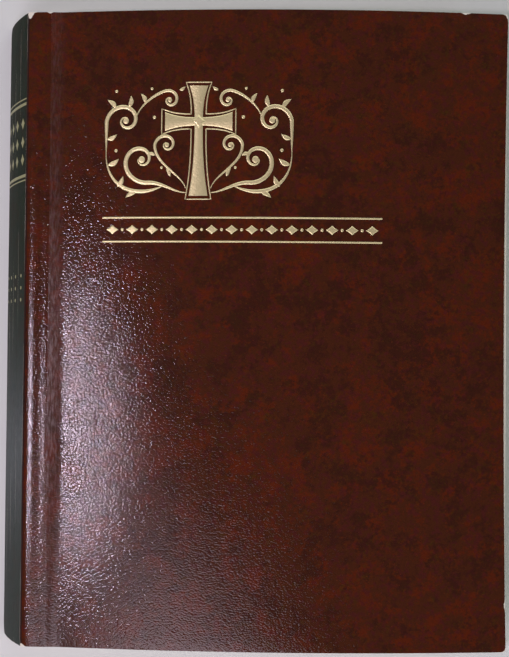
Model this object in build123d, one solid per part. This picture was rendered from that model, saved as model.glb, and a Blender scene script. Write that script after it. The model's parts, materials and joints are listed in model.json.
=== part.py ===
from build123d import *
import os

# A used softcover book of thin paper, lying shut on its back cover.
# X runs from the spine to the fore edge, Y from tail to head, Z from back cover to front cover.
# The origin is the middle of the rectangle that the book covers, at the level of the table.
# The spine leans, so each level of the pages lies nearer the fore edge than the level below it,
# and the loose pages are swollen, so each level is bowed up more than the level below it.

# ---- driving sizes, in millimetres ----
page_width = 178.0            # trimmed width of the front cover, spine to fore edge
page_height = 235.0           # tail to head
spine_thickness = 30.0        # through both covers, at the spine
spine_lean = 12.0             # how much nearer the fore edge the front cover lies than the back cover
spine_roundness = 1.2         # how far the spine bulges out between its two folds
page_swell = 7.0              # how far the middle of the front cover is bowed up

card_thickness = 0.4          # laminated cover card
crease_distance = 8.5         # from the spine to the hinge crease, which is also the side glue's width
crease_run = 4.0              # length of the slope from the glued ridge down to the crease
crease_depth = 0.35           # how far the crease lies under the glued ridge
cover_corner_radius = 1.6     # worn corners at the fore edge
cover_draw_in = 1.2           # how far the bow draws the front cover back at the middle of its fore edge
back_draw_in = 0.2            # the same for the back cover, which lies flat
page_set_back = 0.4           # from the cover's corners back to the pages' fore edge

endleaf_thickness = 0.2       # first and last leaves, of stiffer paper
leaf_air = 0.3                # air on each side of an endleaf
leaf_fold_gap = 0.3           # from the side glue's edge to the fold of the free leaf
section_air = 0.08            # air between two sections of one packet
packet_air = 0.3              # air between two packets
glue_backing = 0.5            # spine adhesive between the card and the folds of the sections
groove_fill = 0.45            # how far the adhesive runs into the grooves between the folds

packet_count = 4
sections_per_packet = 4

# ---- sizes that follow ----
spine_foot_x = -(page_width + spine_lean) / 2
spine_head_x = spine_foot_x + spine_lean
front_crease_x = spine_head_x + crease_distance
back_crease_x = spine_foot_x + crease_distance
front_crease_z = spine_thickness - crease_depth
card_slant = card_thickness * (1 + (spine_lean / spine_thickness) ** 2) ** 0.5

leaf_room = endleaf_thickness + 2 * leaf_air
pages_bottom = card_thickness + leaf_room
pages_top = front_crease_z - card_thickness - leaf_room
packet_height = (pages_top - pages_bottom) / packet_count
section_height = packet_height / sections_per_packet

back_strip_z = pages_bottom - endleaf_thickness
front_strip_z = pages_top + endleaf_thickness


def spine_x(z):
    """X of the spine's outer face at height z."""
    share = z / spine_thickness
    return spine_foot_x + spine_lean * share - 4 * spine_roundness * share * (1 - share)


def card_inside_x(z):
    """X of the spine card's inner face at height z."""
    return spine_x(z) + card_slant


def fold_x(z):
    """X that the folded backs of the sections reach at height z."""
    return card_inside_x(z) + glue_backing


def bow_at(z):
    """How far the pages at height z, measured at the spine, are bowed up in their middle."""
    share = (z - pages_bottom) / (pages_top - pages_bottom)
    return page_swell * share


def slab(face):
    """A solid of the full page height from a face drawn with X across and Z up."""
    return extrude(Plane.XZ * face, amount=page_height / 2, both=True)


def outline(*edges):
    """The face inside a closed run of edges."""
    return make_face(Wire(list(edges)))


def bowed(left, right, bow):
    """An arc from left to right whose middle is raised by bow, or a line where nothing bows."""
    middle = ((left[0] + right[0]) / 2, (left[1] + right[1]) / 2 + bow)
    return ThreePointArc(left, middle, right) if bow else Line(left, right)


def upright_arc(x_at, low, high):
    """An arc that follows x_at(z) from one height to another."""
    middle = (low + high) / 2
    return ThreePointArc((x_at(low), low), (x_at(middle), middle), (x_at(high), high))


def between(x_left, x_right, low, high):
    """The face between two upright curves and two heights."""
    return outline(
        upright_arc(x_left, low, high),
        Line((x_left(high), high), (x_right(high), high)),
        upright_arc(x_right, low, high),
        Line((x_left(low), low), (x_right(low), low)),
    )


# ---- pages ----
def section_face(low, high):
    """One folded section: rounded fold in the spine glue, flat to the crease, then bowed."""
    fold_radius = (high - low) / 2
    fold_low = (fold_x(low) + fold_radius, low)
    fold_high = (fold_x(high) + fold_radius, high)
    crease_low = (spine_x(low) + crease_distance, low)
    crease_high = (spine_x(high) + crease_distance, high)
    page_reach = page_width - page_set_back
    edge_low = (spine_x(low) + page_reach, low)
    edge_high = (spine_x(high) + page_reach, high)
    middle = (low + high) / 2
    return outline(
        ThreePointArc(fold_low, (fold_x(middle), middle), fold_high),
        Line(fold_high, crease_high),
        bowed(crease_high, edge_high, bow_at(high)),
        Line(edge_high, edge_low),
        bowed(crease_low, edge_low, bow_at(low)),
        Line(crease_low, fold_low),
    )


def packet_bottom(packet):
    """Height of a packet's bottom at the spine. Packets count from the front cover."""
    return pages_top - packet * packet_height


def packet_sections(packet):
    """The faces of a packet's sections, from the front cover down."""
    top = packet_bottom(packet - 1)
    faces = []
    for number in range(sections_per_packet):
        high = top - number * section_height
        low = high - section_height
        air_above = packet_air if number == 0 else section_air
        air_below = packet_air if number == sections_per_packet - 1 else section_air
        faces.append(section_face(low + air_below / 2, high - air_above / 2))
    return faces


# ---- endleaves ----
def strip_face(low, high, crease_x):
    """The strip of an endleaf that is glued to the pages, from the fold line to the crease."""
    return outline(
        Line((fold_x(low), low), (crease_x, low)),
        Line((crease_x, low), (crease_x, high)),
        Line((crease_x, high), (fold_x(high), high)),
        Line((fold_x(high), high), (fold_x(low), low)),
    )


def leaf_face(crease_x, low, bow):
    """The free part of an endleaf, from just past the crease to the fore edge."""
    left = crease_x + leaf_fold_gap
    right = crease_x - crease_distance + page_width - page_set_back
    high = low + endleaf_thickness
    return outline(
        bowed((left, high), (right, high), bow),
        Line((right, high), (right, low)),
        bowed((left, low), (right, low), bow),
        Line((left, low), (left, high)),
    )


# ---- cover card ----
def spine_fold(corner, start, straight_to):
    """A rounded fold from start, on the spine, to the flat that runs from corner along X.

    Both ends lie equally far from the corner, so the arc meets both faces smoothly.
    """
    reach = (Vector(*start) - Vector(*corner)).length
    end = (corner[0] + reach, corner[1])
    run = Vector(*corner) - Vector(*start)
    return TangentArc(start, end, tangent=run), Line(end, straight_to)


def front_hinge_face():
    """The front cover's glued strip: spine fold, flat ridge, and slope down to the crease."""
    ridge_x = front_crease_x - crease_run
    ridge_z = spine_thickness
    under_z = ridge_z - card_thickness
    outer = spine_fold(
        (spine_x(ridge_z), ridge_z), (spine_x(front_strip_z), front_strip_z), (ridge_x, ridge_z)
    )
    inner = spine_fold(
        (card_inside_x(under_z), under_z),
        (card_inside_x(front_strip_z), front_strip_z),
        (ridge_x, under_z),
    )
    return outline(
        *outer,
        Line((ridge_x, ridge_z), (front_crease_x, front_crease_z)),
        Line((front_crease_x, front_crease_z), (front_crease_x, front_crease_z - card_thickness)),
        Line((front_crease_x, front_crease_z - card_thickness), (ridge_x, under_z)),
        *inner,
        Line(inner[0] @ 0, outer[0] @ 0),
    )


def front_glue_face():
    """Side glue between the front endleaf's strip and the cover's glued strip."""
    ridge_x = front_crease_x - crease_run
    under_z = spine_thickness - card_thickness
    fold_start = (card_inside_x(front_strip_z), front_strip_z)
    inner = spine_fold((card_inside_x(under_z), under_z), fold_start, (ridge_x, under_z))
    crease_under = (front_crease_x, front_crease_z - card_thickness)
    return outline(
        *inner,
        Line((ridge_x, under_z), crease_under),
        Line(crease_under, (front_crease_x, front_strip_z)),
        Line((front_crease_x, front_strip_z), fold_start),
    )


def back_hinge_face():
    """The back cover's glued strip: a tight fold at the foot of the spine, then flat."""
    outer = spine_fold(
        (spine_x(0), 0), (spine_x(back_strip_z), back_strip_z), (back_crease_x, 0)
    )
    inner = spine_fold(
        (card_inside_x(card_thickness), card_thickness),
        (card_inside_x(back_strip_z), back_strip_z),
        (back_crease_x, card_thickness),
    )
    return outline(
        *outer,
        Line((back_crease_x, 0), (back_crease_x, card_thickness)),
        *inner,
        Line(inner[0] @ 0, outer[0] @ 0),
    )


def back_glue_face():
    """Side glue between the back endleaf's strip and the cover's glued strip."""
    fold_start = (card_inside_x(back_strip_z), back_strip_z)
    inner = spine_fold(
        (card_inside_x(card_thickness), card_thickness),
        fold_start,
        (back_crease_x, card_thickness),
    )
    return outline(
        *inner,
        Line((back_crease_x, card_thickness), (back_crease_x, back_strip_z)),
        Line((back_crease_x, back_strip_z), fold_start),
    )


def cover_plan(crease_x, fore_edge_x, draw_in):
    """Plan of a cover panel: straight at the crease, worn corners, fore edge drawn in."""
    half = page_height / 2
    bite = cover_corner_radius
    tail, head = -half + bite, half - bite
    worn = bite * (1 - 0.5 ** 0.5)
    drawn = (fore_edge_x - draw_in, 0)
    return outline(
        Line((crease_x, -half), (fore_edge_x - bite, -half)),
        ThreePointArc(
            (fore_edge_x - bite, -half), (fore_edge_x - worn, -half + worn), (fore_edge_x, tail)
        ),
        ThreePointArc((fore_edge_x, tail), drawn, (fore_edge_x, head)),
        ThreePointArc(
            (fore_edge_x, head), (fore_edge_x - worn, half - worn), (fore_edge_x - bite, half)
        ),
        Line((fore_edge_x - bite, half), (crease_x, half)),
        Line((crease_x, half), (crease_x, -half)),
    )


def front_cover():
    """The bowed front panel, from its crease to the fore edge."""
    fore_edge_x = spine_head_x + page_width
    under_z = front_crease_z - card_thickness
    panel = outline(
        bowed((front_crease_x, front_crease_z), (fore_edge_x, front_crease_z), page_swell),
        Line((fore_edge_x, front_crease_z), (fore_edge_x, under_z)),
        bowed((front_crease_x, under_z), (fore_edge_x, under_z), page_swell),
        Line((front_crease_x, under_z), (front_crease_x, front_crease_z)),
    )
    plan = cover_plan(front_crease_x, fore_edge_x, cover_draw_in)
    return slab(panel) & extrude(plan, amount=spine_thickness + 2 * page_swell)


def back_cover():
    """The back panel, flat on the table."""
    plan = cover_plan(back_crease_x, spine_foot_x + page_width, back_draw_in)
    return extrude(plan, amount=card_thickness)


# ---- spine, one length of card and one of adhesive for each packet ----
def spine_span(packet):
    """Lowest and highest point of a packet's share of the spine."""
    low = packet_bottom(packet) if packet < packet_count else back_strip_z
    high = packet_bottom(packet - 1) if packet > 1 else front_strip_z
    return low, high


def spine_card(packet):
    low, high = spine_span(packet)
    return slab(between(spine_x, card_inside_x, low, high))


def spine_glue(packet, pages):
    """Adhesive behind the card, with a groove for the fold of each section and glued strip."""
    low, high = spine_span(packet)
    face = between(card_inside_x, lambda z: fold_x(z) + groove_fill, low, high)
    for page_face in pages:
        face = face - page_face
    return slab(face)


os.makedirs("parts", exist_ok=True)


def save(node, shape):
    export_step(shape, f"parts/{node}.step")


front_strip = strip_face(pages_top, front_strip_z, front_crease_x)
back_strip = strip_face(back_strip_z, pages_bottom, back_crease_x)
save("front_endleaf_strip", slab(front_strip))
save("back_endleaf_strip", slab(back_strip))
save("front_endleaf", slab(leaf_face(front_crease_x, pages_top + leaf_air, page_swell)))
save("back_endleaf", slab(leaf_face(back_crease_x, card_thickness + leaf_air, 0)))

for packet in range(1, packet_count + 1):
    pages = packet_sections(packet)
    for number, face in enumerate(pages, (packet - 1) * sections_per_packet + 1):
        save(f"section_{number:02d}", slab(face))
    strips = {1: [front_strip], packet_count: [back_strip]}.get(packet, [])
    save(f"spine_card_{packet}", spine_card(packet))
    save(f"spine_glue_{packet}", spine_glue(packet, pages + strips))

save("front_hinge_strip", slab(front_hinge_face()))
save("front_side_glue", slab(front_glue_face()))
save("front_cover", front_cover())
save("back_hinge_strip", slab(back_hinge_face()))
save("back_side_glue", slab(back_glue_face()))
save("back_cover", back_cover())
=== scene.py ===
"""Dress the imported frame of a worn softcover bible.

The book lies shut on its back cover. X runs from the spine to the fore edge, Y from tail to head
and Z from the back cover to the front cover. Shapes are worked out in millimetres.
"""

import json
import logging
import math
from dataclasses import dataclass, field
from enum import Enum
from typing import Callable, Sequence

import bpy
import numpy as np
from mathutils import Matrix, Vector


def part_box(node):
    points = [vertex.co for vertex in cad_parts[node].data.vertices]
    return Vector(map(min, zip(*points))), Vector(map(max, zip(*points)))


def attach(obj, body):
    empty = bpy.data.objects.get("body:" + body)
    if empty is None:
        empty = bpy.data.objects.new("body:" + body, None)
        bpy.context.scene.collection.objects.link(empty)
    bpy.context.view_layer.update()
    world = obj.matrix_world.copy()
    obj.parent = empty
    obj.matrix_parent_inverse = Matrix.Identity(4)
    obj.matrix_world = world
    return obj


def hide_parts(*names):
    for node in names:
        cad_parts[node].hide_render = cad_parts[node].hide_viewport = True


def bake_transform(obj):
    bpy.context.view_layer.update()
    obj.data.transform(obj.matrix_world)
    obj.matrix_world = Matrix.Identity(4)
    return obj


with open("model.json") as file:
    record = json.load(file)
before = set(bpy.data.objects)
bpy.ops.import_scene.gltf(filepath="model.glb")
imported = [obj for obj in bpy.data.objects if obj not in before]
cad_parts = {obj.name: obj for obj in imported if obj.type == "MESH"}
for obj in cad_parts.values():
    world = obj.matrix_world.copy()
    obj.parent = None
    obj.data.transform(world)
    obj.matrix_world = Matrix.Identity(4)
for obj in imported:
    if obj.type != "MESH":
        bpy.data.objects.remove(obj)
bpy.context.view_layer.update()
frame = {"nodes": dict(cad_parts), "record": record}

LOG = logging.getLogger("bible")
MM = 0.001
CRISP_DEGREES = 38.0  # an edge that turns more than this is shaded sharp
Array = np.ndarray
Piece = bpy.types.Object
Material = bpy.types.Material
Socket = bpy.types.NodeSocket
Value = Socket | float | tuple
Shape = tuple[Array, Array, Array]


# ---- sizes from the frame


class Cover(Enum):
    """The two sides of the book, as its nodes name them."""

    FRONT = "front"
    BACK = "back"


def box_mm(node: str) -> tuple[Array, Array]:
    """Return a node's lowest and highest corner in millimetres."""
    low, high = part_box(node)
    return np.array(low) / MM, np.array(high) / MM


@dataclass(frozen=True)
class Book:
    """The book's main levels and lines, read from the frame, and its cover's relief, in millimetres."""

    half_height: float
    card: float
    bow: float
    front_crease: Array
    front_fore_x: float
    back_crease_x: float
    back_fore_x: float
    pages_low: float
    pages_high: float
    page_reach: float
    crease_distance: float
    spine_levels: Array
    spine_curve: Array
    lip: float = 0.55
    sink: float = 0.45
    fade: float = 3.6
    fade_lead: float = 1.2
    ridge_slope: float = 0.03
    ridge_step: float = 0.06
    step_turn: float = 1.55
    step_width: float = 1.1
    crest: float = 0.0047
    crest_reach: float = 4.7
    long_wave: float = 0.06
    short_wave: float = 0.04
    wave_fade_in: float = 20.0
    wave_fade_out: float = 12.0
    long_wander: float = 0.35
    short_wander: float = 0.2
    wander_reach: float = 3.0

    @classmethod
    def from_frame(cls) -> "Book":
        """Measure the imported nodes.

        Returns:
            The book that the frame holds.
        """
        cover_low, cover_high = box_mm("front_cover")
        back_low, back_high = box_mm("back_cover")
        cards = [box_mm(f"spine_card_{number}") for number in (4, 3, 2, 1)]
        levels = np.array([low[2] for low, _ in cards] + [cards[-1][1][2]])
        curve = np.polyfit(levels[:4], [low[0] for low, _ in cards], 2)
        card = back_high[2] - back_low[2]
        fold_x = np.polyval(curve, box_mm("front_hinge_strip")[1][2])
        return cls(
            half_height=(cover_high[1] - cover_low[1]) / 2,
            card=card,
            bow=cover_high[2] - cover_low[2] - card,
            front_crease=np.array([cover_low[0], cover_low[2] + card]),
            front_fore_x=cover_high[0],
            back_crease_x=back_low[0],
            back_fore_x=back_high[0],
            pages_low=box_mm("back_endleaf_strip")[1][2],
            pages_high=box_mm("front_endleaf_strip")[0][2],
            page_reach=box_mm("front_endleaf")[1][0] - fold_x,
            crease_distance=cover_low[0] - fold_x,
            spine_levels=levels,
            spine_curve=curve,
        )

    def spine_x(self, z: Array) -> Array:
        """Return X of the spine's outer face at height z, on a second-order curve."""
        return np.polyval(self.spine_curve, z)

    @property
    def spine_edge(self) -> float:
        """Return X of the front cover's spine edge."""
        return self.front_crease[0] - self.crease_distance

    @property
    def panel_reach(self) -> float:
        """Return the width of the front panel from crease to fore edge."""
        return self.front_fore_x - self.front_crease[0]

    def to_end(self, y: Array) -> Array:
        """Return how far points lie from the head or the tail, whichever is nearer."""
        return self.half_height - np.abs(y)

    def growth(self, level: float) -> float:
        """Return how much of the full bow the pages of a level have, from 0 to 1."""
        return (level - self.pages_low) / (self.pages_high - self.pages_low)

    def settled(self, run: Array) -> Array:
        """Return 1 - exp(-run (run + lead) / fade squared): 0 at the crease, 1 past the groove."""
        return 1 - np.exp(-run * (run + self.fade_lead) / self.fade**2)

    def swell(self, run: Array) -> Array:
        """Return how high the topmost page is raised over its height at the crease.

        The swell is a parabola of the run, less a sink behind the crease that shrinks in a
        straight line to nothing at the fore edge.

        Args:
            run: distance past the crease, 0 or more.

        Returns:
            The heights.
        """
        share = run / self.panel_reach
        return 4 * self.bow * share * (1 - share) - self.sink * self.settled(run) * (1 - share)

    def cover_profile(self, x: Array) -> Array:
        """Return the front cover's height from spine edge to fore edge.

        Over the glued strip the card rises from the spine edge in a straight slope with a
        soft tanh step before the crease, less a cube near the edge that rounds the fold.
        Past the crease it drops off a lip into the groove and rises with the swell of the
        pages.

        Args:
            x: X across the book.

        Returns:
            The heights.
        """
        across = x - self.spine_edge
        run = np.clip(x - self.front_crease[0], 0, None)
        short = np.clip(self.crease_distance - across, 0, None)
        turn = np.clip(self.step_turn - short / self.step_width, None, self.step_turn)
        step = np.tanh(self.step_turn) - np.tanh(turn)
        slope = self.ridge_slope * short + self.ridge_step * step
        rounding = self.crest * np.clip(self.crest_reach - across, 0, None) ** 3
        lip = self.lip * (1 - self.settled(run))
        return self.front_crease[1] + self.swell(run) + lip - slope - rounding

    def cover_top(self, x: Array, y: Array) -> Array:
        """Return the height of the front cover's outer face.

        The groove wanders a little along the book. Two slow waves, faded out towards the
        crease and the fore edge and never above the profile, keep it from being even.

        Args:
            x: X across the book.
            y: Y along the book, of the same shape.

        Returns:
            The heights, of the same shape.
        """
        run = np.clip(x - self.front_crease[0], 0, self.panel_reach)
        share = run / self.panel_reach
        wave = self.long_wave * (np.sin(y / 31 + 2 * share) - 1)
        wave += self.short_wave * (np.sin(y / 17 - 5 * share + 1) - 1)
        fade_out = np.clip((self.panel_reach - run) / self.wave_fade_out, 0, 1)
        fade = np.clip(run / self.wave_fade_in, 0, 1) * fade_out
        wander = self.long_wander * np.sin(y / 19 + 0.6) + self.short_wander * np.sin(y / 6.3)
        behind = run / self.wander_reach
        return self.cover_profile(x + wander * behind * np.exp(1 - behind)) + wave * fade


BOOK = Book.from_frame()


# ---- mesh helpers


class Side(Enum):
    """Material slots of a sheet: printed face, bare inner face, and cut rim."""

    OUTER = 0
    INNER = 1
    RIM = 2


def grid(x: Array, y: Array, z: Array | float) -> Array:
    """Return a grid of points from X, Y and Z, each spread to the shape of all three."""
    return np.stack(np.broadcast_arrays(x, y, z), axis=-1)


def bell(distance: Array, width: float) -> Array:
    """Return exp(-(distance / width) squared)."""
    return np.exp(-((distance / width) ** 2))


def fine_ends(low: float, high: float, count: int, crowd: float = 2.2) -> Array:
    """Return values from low to high that crowd towards both ends, by a tanh stretch."""
    steady = np.linspace(-1, 1, count)
    return (low + high) / 2 + (high - low) / 2 * np.tanh(crowd * steady) / np.tanh(crowd)


def new_piece(
    name: str,
    points: Array,
    faces: Array,
    materials: Sequence[Material],
    slots: Array | None = None,
    uv: Array | None = None,
    marks: dict[str, Array] | None = None,
) -> Piece:
    """Make a mesh object at the origin from whole arrays.

    Args:
        name: the piece's name.
        points: vertices in millimetres, one row each.
        faces: quads, four vertex numbers each.
        materials: the piece's materials in slot order.
        slots: material slot of each face.
        uv: a UV pair for each vertex, or for each corner of each quad.
        marks: named float values for each vertex.

    Returns:
        The linked object.
    """
    if not np.isfinite(points).all():
        raise ValueError(f"{name}: a vertex is not a finite number")
    mesh = bpy.data.meshes.new(name)
    mesh.vertices.add(len(points))
    mesh.vertices.foreach_set("co", (points * MM).astype(np.float32).ravel())
    mesh.loops.add(faces.size)
    mesh.loops.foreach_set("vertex_index", faces.astype(np.int32).ravel())
    mesh.polygons.add(len(faces))
    mesh.polygons.foreach_set("loop_start", np.arange(0, faces.size, 4, dtype=np.int32))
    for material in materials:
        mesh.materials.append(material)
    if slots is not None:
        mesh.polygons.foreach_set("material_index", slots.astype(np.int32))
    if uv is not None:
        layer = mesh.uv_layers.new(name="millimetres")
        corners = uv if uv.ndim == 3 else uv[faces.ravel()]
        layer.data.foreach_set("uv", corners.astype(np.float32).ravel())
    for mark, values in (marks or {}).items():
        attribute = mesh.attributes.new(mark, "FLOAT", "POINT")
        attribute.data.foreach_set("value", values.astype(np.float32).ravel())
    mesh.update()
    mesh.validate()
    mesh.shade_smooth()
    mesh.set_sharp_from_angle(angle=math.radians(CRISP_DEGREES))
    piece = bpy.data.objects.new(name, mesh)
    bpy.context.scene.collection.objects.link(piece)
    return piece


def body_of(node: str) -> str:
    """Return the name of the body that carries a node."""
    bodies = frame["record"]["behaviour"]["bodies"]
    return next(body for body, members in bodies.items() if node in members)


def stand_for(
    piece: Piece, node: str, beside: str = ""
) -> Piece:
    """Let a piece take a node's place and hide the node; with no beside the piece rides on the node's body,
    else it is baked where it stands.

    Args:
        piece: the new piece.
        node: the node that it stands for.
        beside: a node on the neighbouring body; when one is given the piece is baked where it stands and not
            attached.

    Returns:
        The piece.
    """
    if beside:
        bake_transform(piece)
    else:
        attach(piece, body_of(node))
    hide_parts(node)
    return piece


def grid_faces(rows: int, columns: int, first: int = 0, wrap: bool = False) -> Array:
    """Return the quads of a grid of vertices numbered row by row.

    Args:
        rows: number of rows.
        columns: number of columns.
        first: number of the first vertex.
        wrap: whether each row closes on itself.

    Returns:
        One row of four vertex numbers for each quad.
    """
    numbers = first + np.arange(rows * columns).reshape(rows, columns)
    if wrap:
        numbers = np.hstack([numbers, numbers[:, :1]])
    corners = numbers[:-1, :-1], numbers[1:, :-1], numbers[1:, 1:], numbers[:-1, 1:]
    return np.stack([corner.ravel() for corner in corners], axis=1)


def ring_faces(first: Array, second: Array) -> Array:
    """Return the quads between two closed rings of vertex numbers."""
    return np.stack([first, np.roll(first, -1), np.roll(second, -1), second], axis=1)


def perimeter(rows: int, columns: int) -> Array:
    """Return the border vertices of a grid, in order round it.

    Args:
        rows: number of rows.
        columns: number of columns.

    Returns:
        The vertex numbers.
    """
    numbers = np.arange(rows * columns).reshape(rows, columns)
    sides = numbers[0, :-1], numbers[:-1, -1], numbers[-1, :0:-1], numbers[:0:-1, 0]
    return np.concatenate(sides)


def facing(points: Array, faces: Array, outward: Array) -> Array:
    """Return the quads in the order that makes their normals point along outward.

    Args:
        points: all vertices.
        faces: the quads, all wound the same way.
        outward: one direction, or one for each quad.

    Returns:
        The quads, turned over where that is needed.
    """
    across = points[faces[:, 2]] - points[faces[:, 0]]
    other = points[faces[:, 3]] - points[faces[:, 1]]
    against = (np.cross(across, other) * outward).sum() < 0
    return faces[:, ::-1] if against else faces


def closed_sheet(outer: Array, inner: Array, bulge: float = 0.0) -> Shape:
    """Close two facing grids into one sheet with a rounded rim.

    Outer and inner are (rows, columns, 3). The rim is a ring of quads between their borders
    with a middle row, the mean of the two borders pushed outward by bulge along the
    direction from the sheet's middle line to the border.

    Args:
        outer: the printed face; rows run along Y and columns along X.
        inner: the bare face, point for point under the outer one.
        bulge: how far the middle of the rim stands out, in millimetres; along the first
            column it stays flush.

    Returns:
        The vertices, the quads and the slot of each quad.
    """
    rows, columns = outer.shape[:2]
    count = rows * columns
    border = perimeter(rows, columns)
    flat_outer, flat_inner = outer.reshape(-1, 3), inner.reshape(-1, 3)
    middle = (flat_outer[border] + flat_inner[border]) / 2
    ahead = np.roll(middle, -1, axis=0) - np.roll(middle, 1, axis=0)
    through = flat_outer[border] - flat_inner[border]
    push = np.cross(ahead, through)
    push /= np.linalg.norm(push, axis=1, keepdims=True) + 1e-9
    push *= np.sign((push * (middle - middle.mean(0))).sum())
    stands_out = np.where(border % columns == 0, 0.0, bulge)[:, None]
    points = np.vstack([flat_outer, flat_inner, middle + stands_out * push])
    ring = 2 * count + np.arange(len(border))
    walls = (
        (Side.OUTER, grid_faces(rows, columns), through[:1]),
        (Side.INNER, grid_faces(rows, columns, first=count), -through[:1]),
        (Side.RIM, ring_faces(border, ring), push),
        (Side.RIM, ring_faces(ring, border + count), push),
    )
    faces = np.vstack([facing(points, quads, outward) for _, quads, outward in walls])
    slots = np.repeat([side.value for side, _, _ in walls], [len(quads) for _, quads, _ in walls])
    return points, faces, slots


# ---- shader helpers


class Tree:
    """A node tree with short ways to add and join nodes."""

    def __init__(self, tree: bpy.types.NodeTree) -> None:
        """Keep the tree."""
        self.tree = tree

    def feed(self, socket: Socket, value: Value) -> None:
        """Link an output to an input, or set the input's own value.

        Args:
            socket: the input.
            value: an output, or a plain value.
        """
        if isinstance(value, Socket):
            self.tree.links.new(value, socket)
        else:
            socket.default_value = value

    def add(self, kind: str, settings: dict[str, object] | None = None, **inputs: Value) -> bpy.types.Node:
        """Add a node.

        Args:
            kind: the node's type after the word ShaderNode.
            settings: its properties.
            inputs: values or outputs, by input name, or i0, i1 and so on for an input's number.

        Returns:
            The node.
        """
        node = self.tree.nodes.new(f"ShaderNode{kind}")
        for name, value in (settings or {}).items():
            setattr(node, name, value)
        for name, value in inputs.items():
            self.feed(node.inputs[int(name[1:]) if name[1:].isdigit() else name], value)
        return node

    def first(self, kind: str, settings: dict[str, object], *values: Value) -> Socket:
        """Return the first output of a node whose first inputs are given in order."""
        inputs = {f"i{number}": value for number, value in enumerate(values)}
        return self.add(kind, settings, **inputs).outputs[0]

    def math(self, operation: str, *values: Value, clamp: bool = False) -> Socket:
        """Return a Math node's output."""
        return self.first("Math", {"operation": operation, "use_clamp": clamp}, *values)

    def times(self, *values: Value, clamp: bool = False) -> Socket:
        """Return the product of two values, plus a third where one is given."""
        return self.math("MULTIPLY_ADD" if len(values) > 2 else "MULTIPLY", *values, clamp=clamp)

    def vector(self, operation: str, *values: Value) -> Socket:
        """Return a Vector Math node's output."""
        return self.first("VectorMath", {"operation": operation}, *values)

    def step(self, value: Value, low: float, high: float) -> Socket:
        """Return a smooth step of value from 0 at low to 1 at high."""
        return self.first("MapRange", {"interpolation_type": "SMOOTHSTEP"}, value, low, high)

    def inside(self, value: Value, start: float, size: float) -> Socket:
        """Return 1 where value lies within size past start, else 0."""
        return self.math("COMPARE", value, start + size / 2, size / 2)

    def mix(self, share: Value, first: Value, second: Value) -> Socket:
        """Return a colour mixed from first to second by share."""
        return self.add("Mix", {"data_type": "RGBA"}, i0=share, i6=first, i7=second).outputs[2]

    def noise(self, vector: Socket, scale: float, detail: float = 3.0, rough: float = 0.55) -> Socket:
        """Return a noise value at a scale in waves per metre."""
        node = self.add("TexNoise", None, Vector=vector, Scale=scale, Detail=detail, Roughness=rough)
        return node.outputs["Fac"]


def linear(red: int, green: int, blue: int) -> tuple[float, float, float, float]:
    """Return a display colour as a linear one with full alpha, by the usual display curve.

    Args:
        red: from 0 to 255.
        green: from 0 to 255.
        blue: from 0 to 255.

    Returns:
        Red, green, blue and alpha from 0 to 1.
    """
    share = np.array([red, green, blue]) / 255
    value = np.where(share <= 0.04045, share / 12.92, ((share + 0.055) / 1.055) ** 2.4)
    return (*value.tolist(), 1.0)


def make_group(
    name: str, outputs: Sequence[str], build: Callable[..., Sequence[Socket]], **values: float
) -> bpy.types.NodeTree:
    """Make a shader node group that works on a vector.

    Args:
        name: the group's name.
        outputs: names of its outputs, all single values.
        build: makes the nodes in a Tree from the input sockets and returns the outputs in order.
        values: names and defaults of further inputs, all single values.

    Returns:
        The group.
    """
    group = bpy.data.node_groups.new(name, "ShaderNodeTree")
    face = group.interface
    face.new_socket(name="Vector", in_out="INPUT", socket_type="NodeSocketVector")
    for label, value in values.items():
        face.new_socket(name=label, in_out="INPUT", socket_type="NodeSocketFloat").default_value = value
    for label in outputs:
        face.new_socket(name=label, in_out="OUTPUT", socket_type="NodeSocketFloat")
    start = group.nodes.new("NodeGroupInput")
    made = build(Tree(group), *(start.outputs[label] for label in ("Vector", *values)))
    end = group.nodes.new("NodeGroupOutput")
    for label, value in zip(outputs, made):
        group.links.new(value, end.inputs[label])
    return group


def build_pebble_grain(tree: Tree, vector: Socket, cells: Socket) -> tuple[Socket, ...]:
    """Build domes, 1 less the squared distance to warped cell centres, with finer wrinkles.

    Args:
        tree: the group's tree.
        vector: the place.
        cells: pebbles per metre.

    Returns:
        The height and the domes alone.
    """
    warp = tree.add("TexNoise", None, Vector=vector, Scale=700.0, Detail=2.0).outputs["Color"]
    shift = tree.vector("MULTIPLY_ADD", warp, (0.0006, 0.0006, 0.0006), vector)
    wide = tree.vector("MULTIPLY", shift, (1.0, 1.4, 1.0))
    far = tree.add("TexVoronoi", {"feature": "F1"}, Vector=wide, Scale=cells).outputs["Distance"]
    pebble = tree.math("SUBTRACT", 1.0, tree.times(far, far), clamp=True)
    return tree.times(tree.noise(vector, 2600.0, 2.0, 0.5), 0.08, pebble), pebble


def build_mottle(tree: Tree, vector: Socket) -> tuple[Socket, ...]:
    """Build cloudy dye patches at three sizes, and a fine speck.

    Args:
        tree: the group's tree.
        vector: the place.

    Returns:
        The shares of red, dark, olive and wine, and the speck.
    """
    slow = tree.noise(vector, 42.0, 3.0, 0.55)
    cloud = tree.noise(vector, 130.0, 4.0, 0.6)
    apart = tree.vector("ADD", vector, (0.31, 0.17, 0.05))
    other = tree.noise(apart, 170.0, 4.0, 0.62)
    fine = tree.noise(vector, 620.0, 3.0, 0.65)
    red = tree.times(slow, 0.2, tree.times(cloud, 0.5, tree.times(fine, 0.3)))
    dark = tree.times(slow, -0.3, tree.times(other, 0.5, tree.times(fine, -0.25)))
    olive = tree.times(fine, 0.4, tree.times(other, 0.6))
    wine = tree.noise(apart, 460.0, 3.0, 0.6)
    levels = (red, 0.48, 0.59), (dark, -0.03, 0.06), (olive, 0.52, 0.64), (wine, 0.5, 0.62)
    return *(tree.step(*level) for level in levels), tree.noise(vector, 1500.0, 2.0, 0.6)


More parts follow.
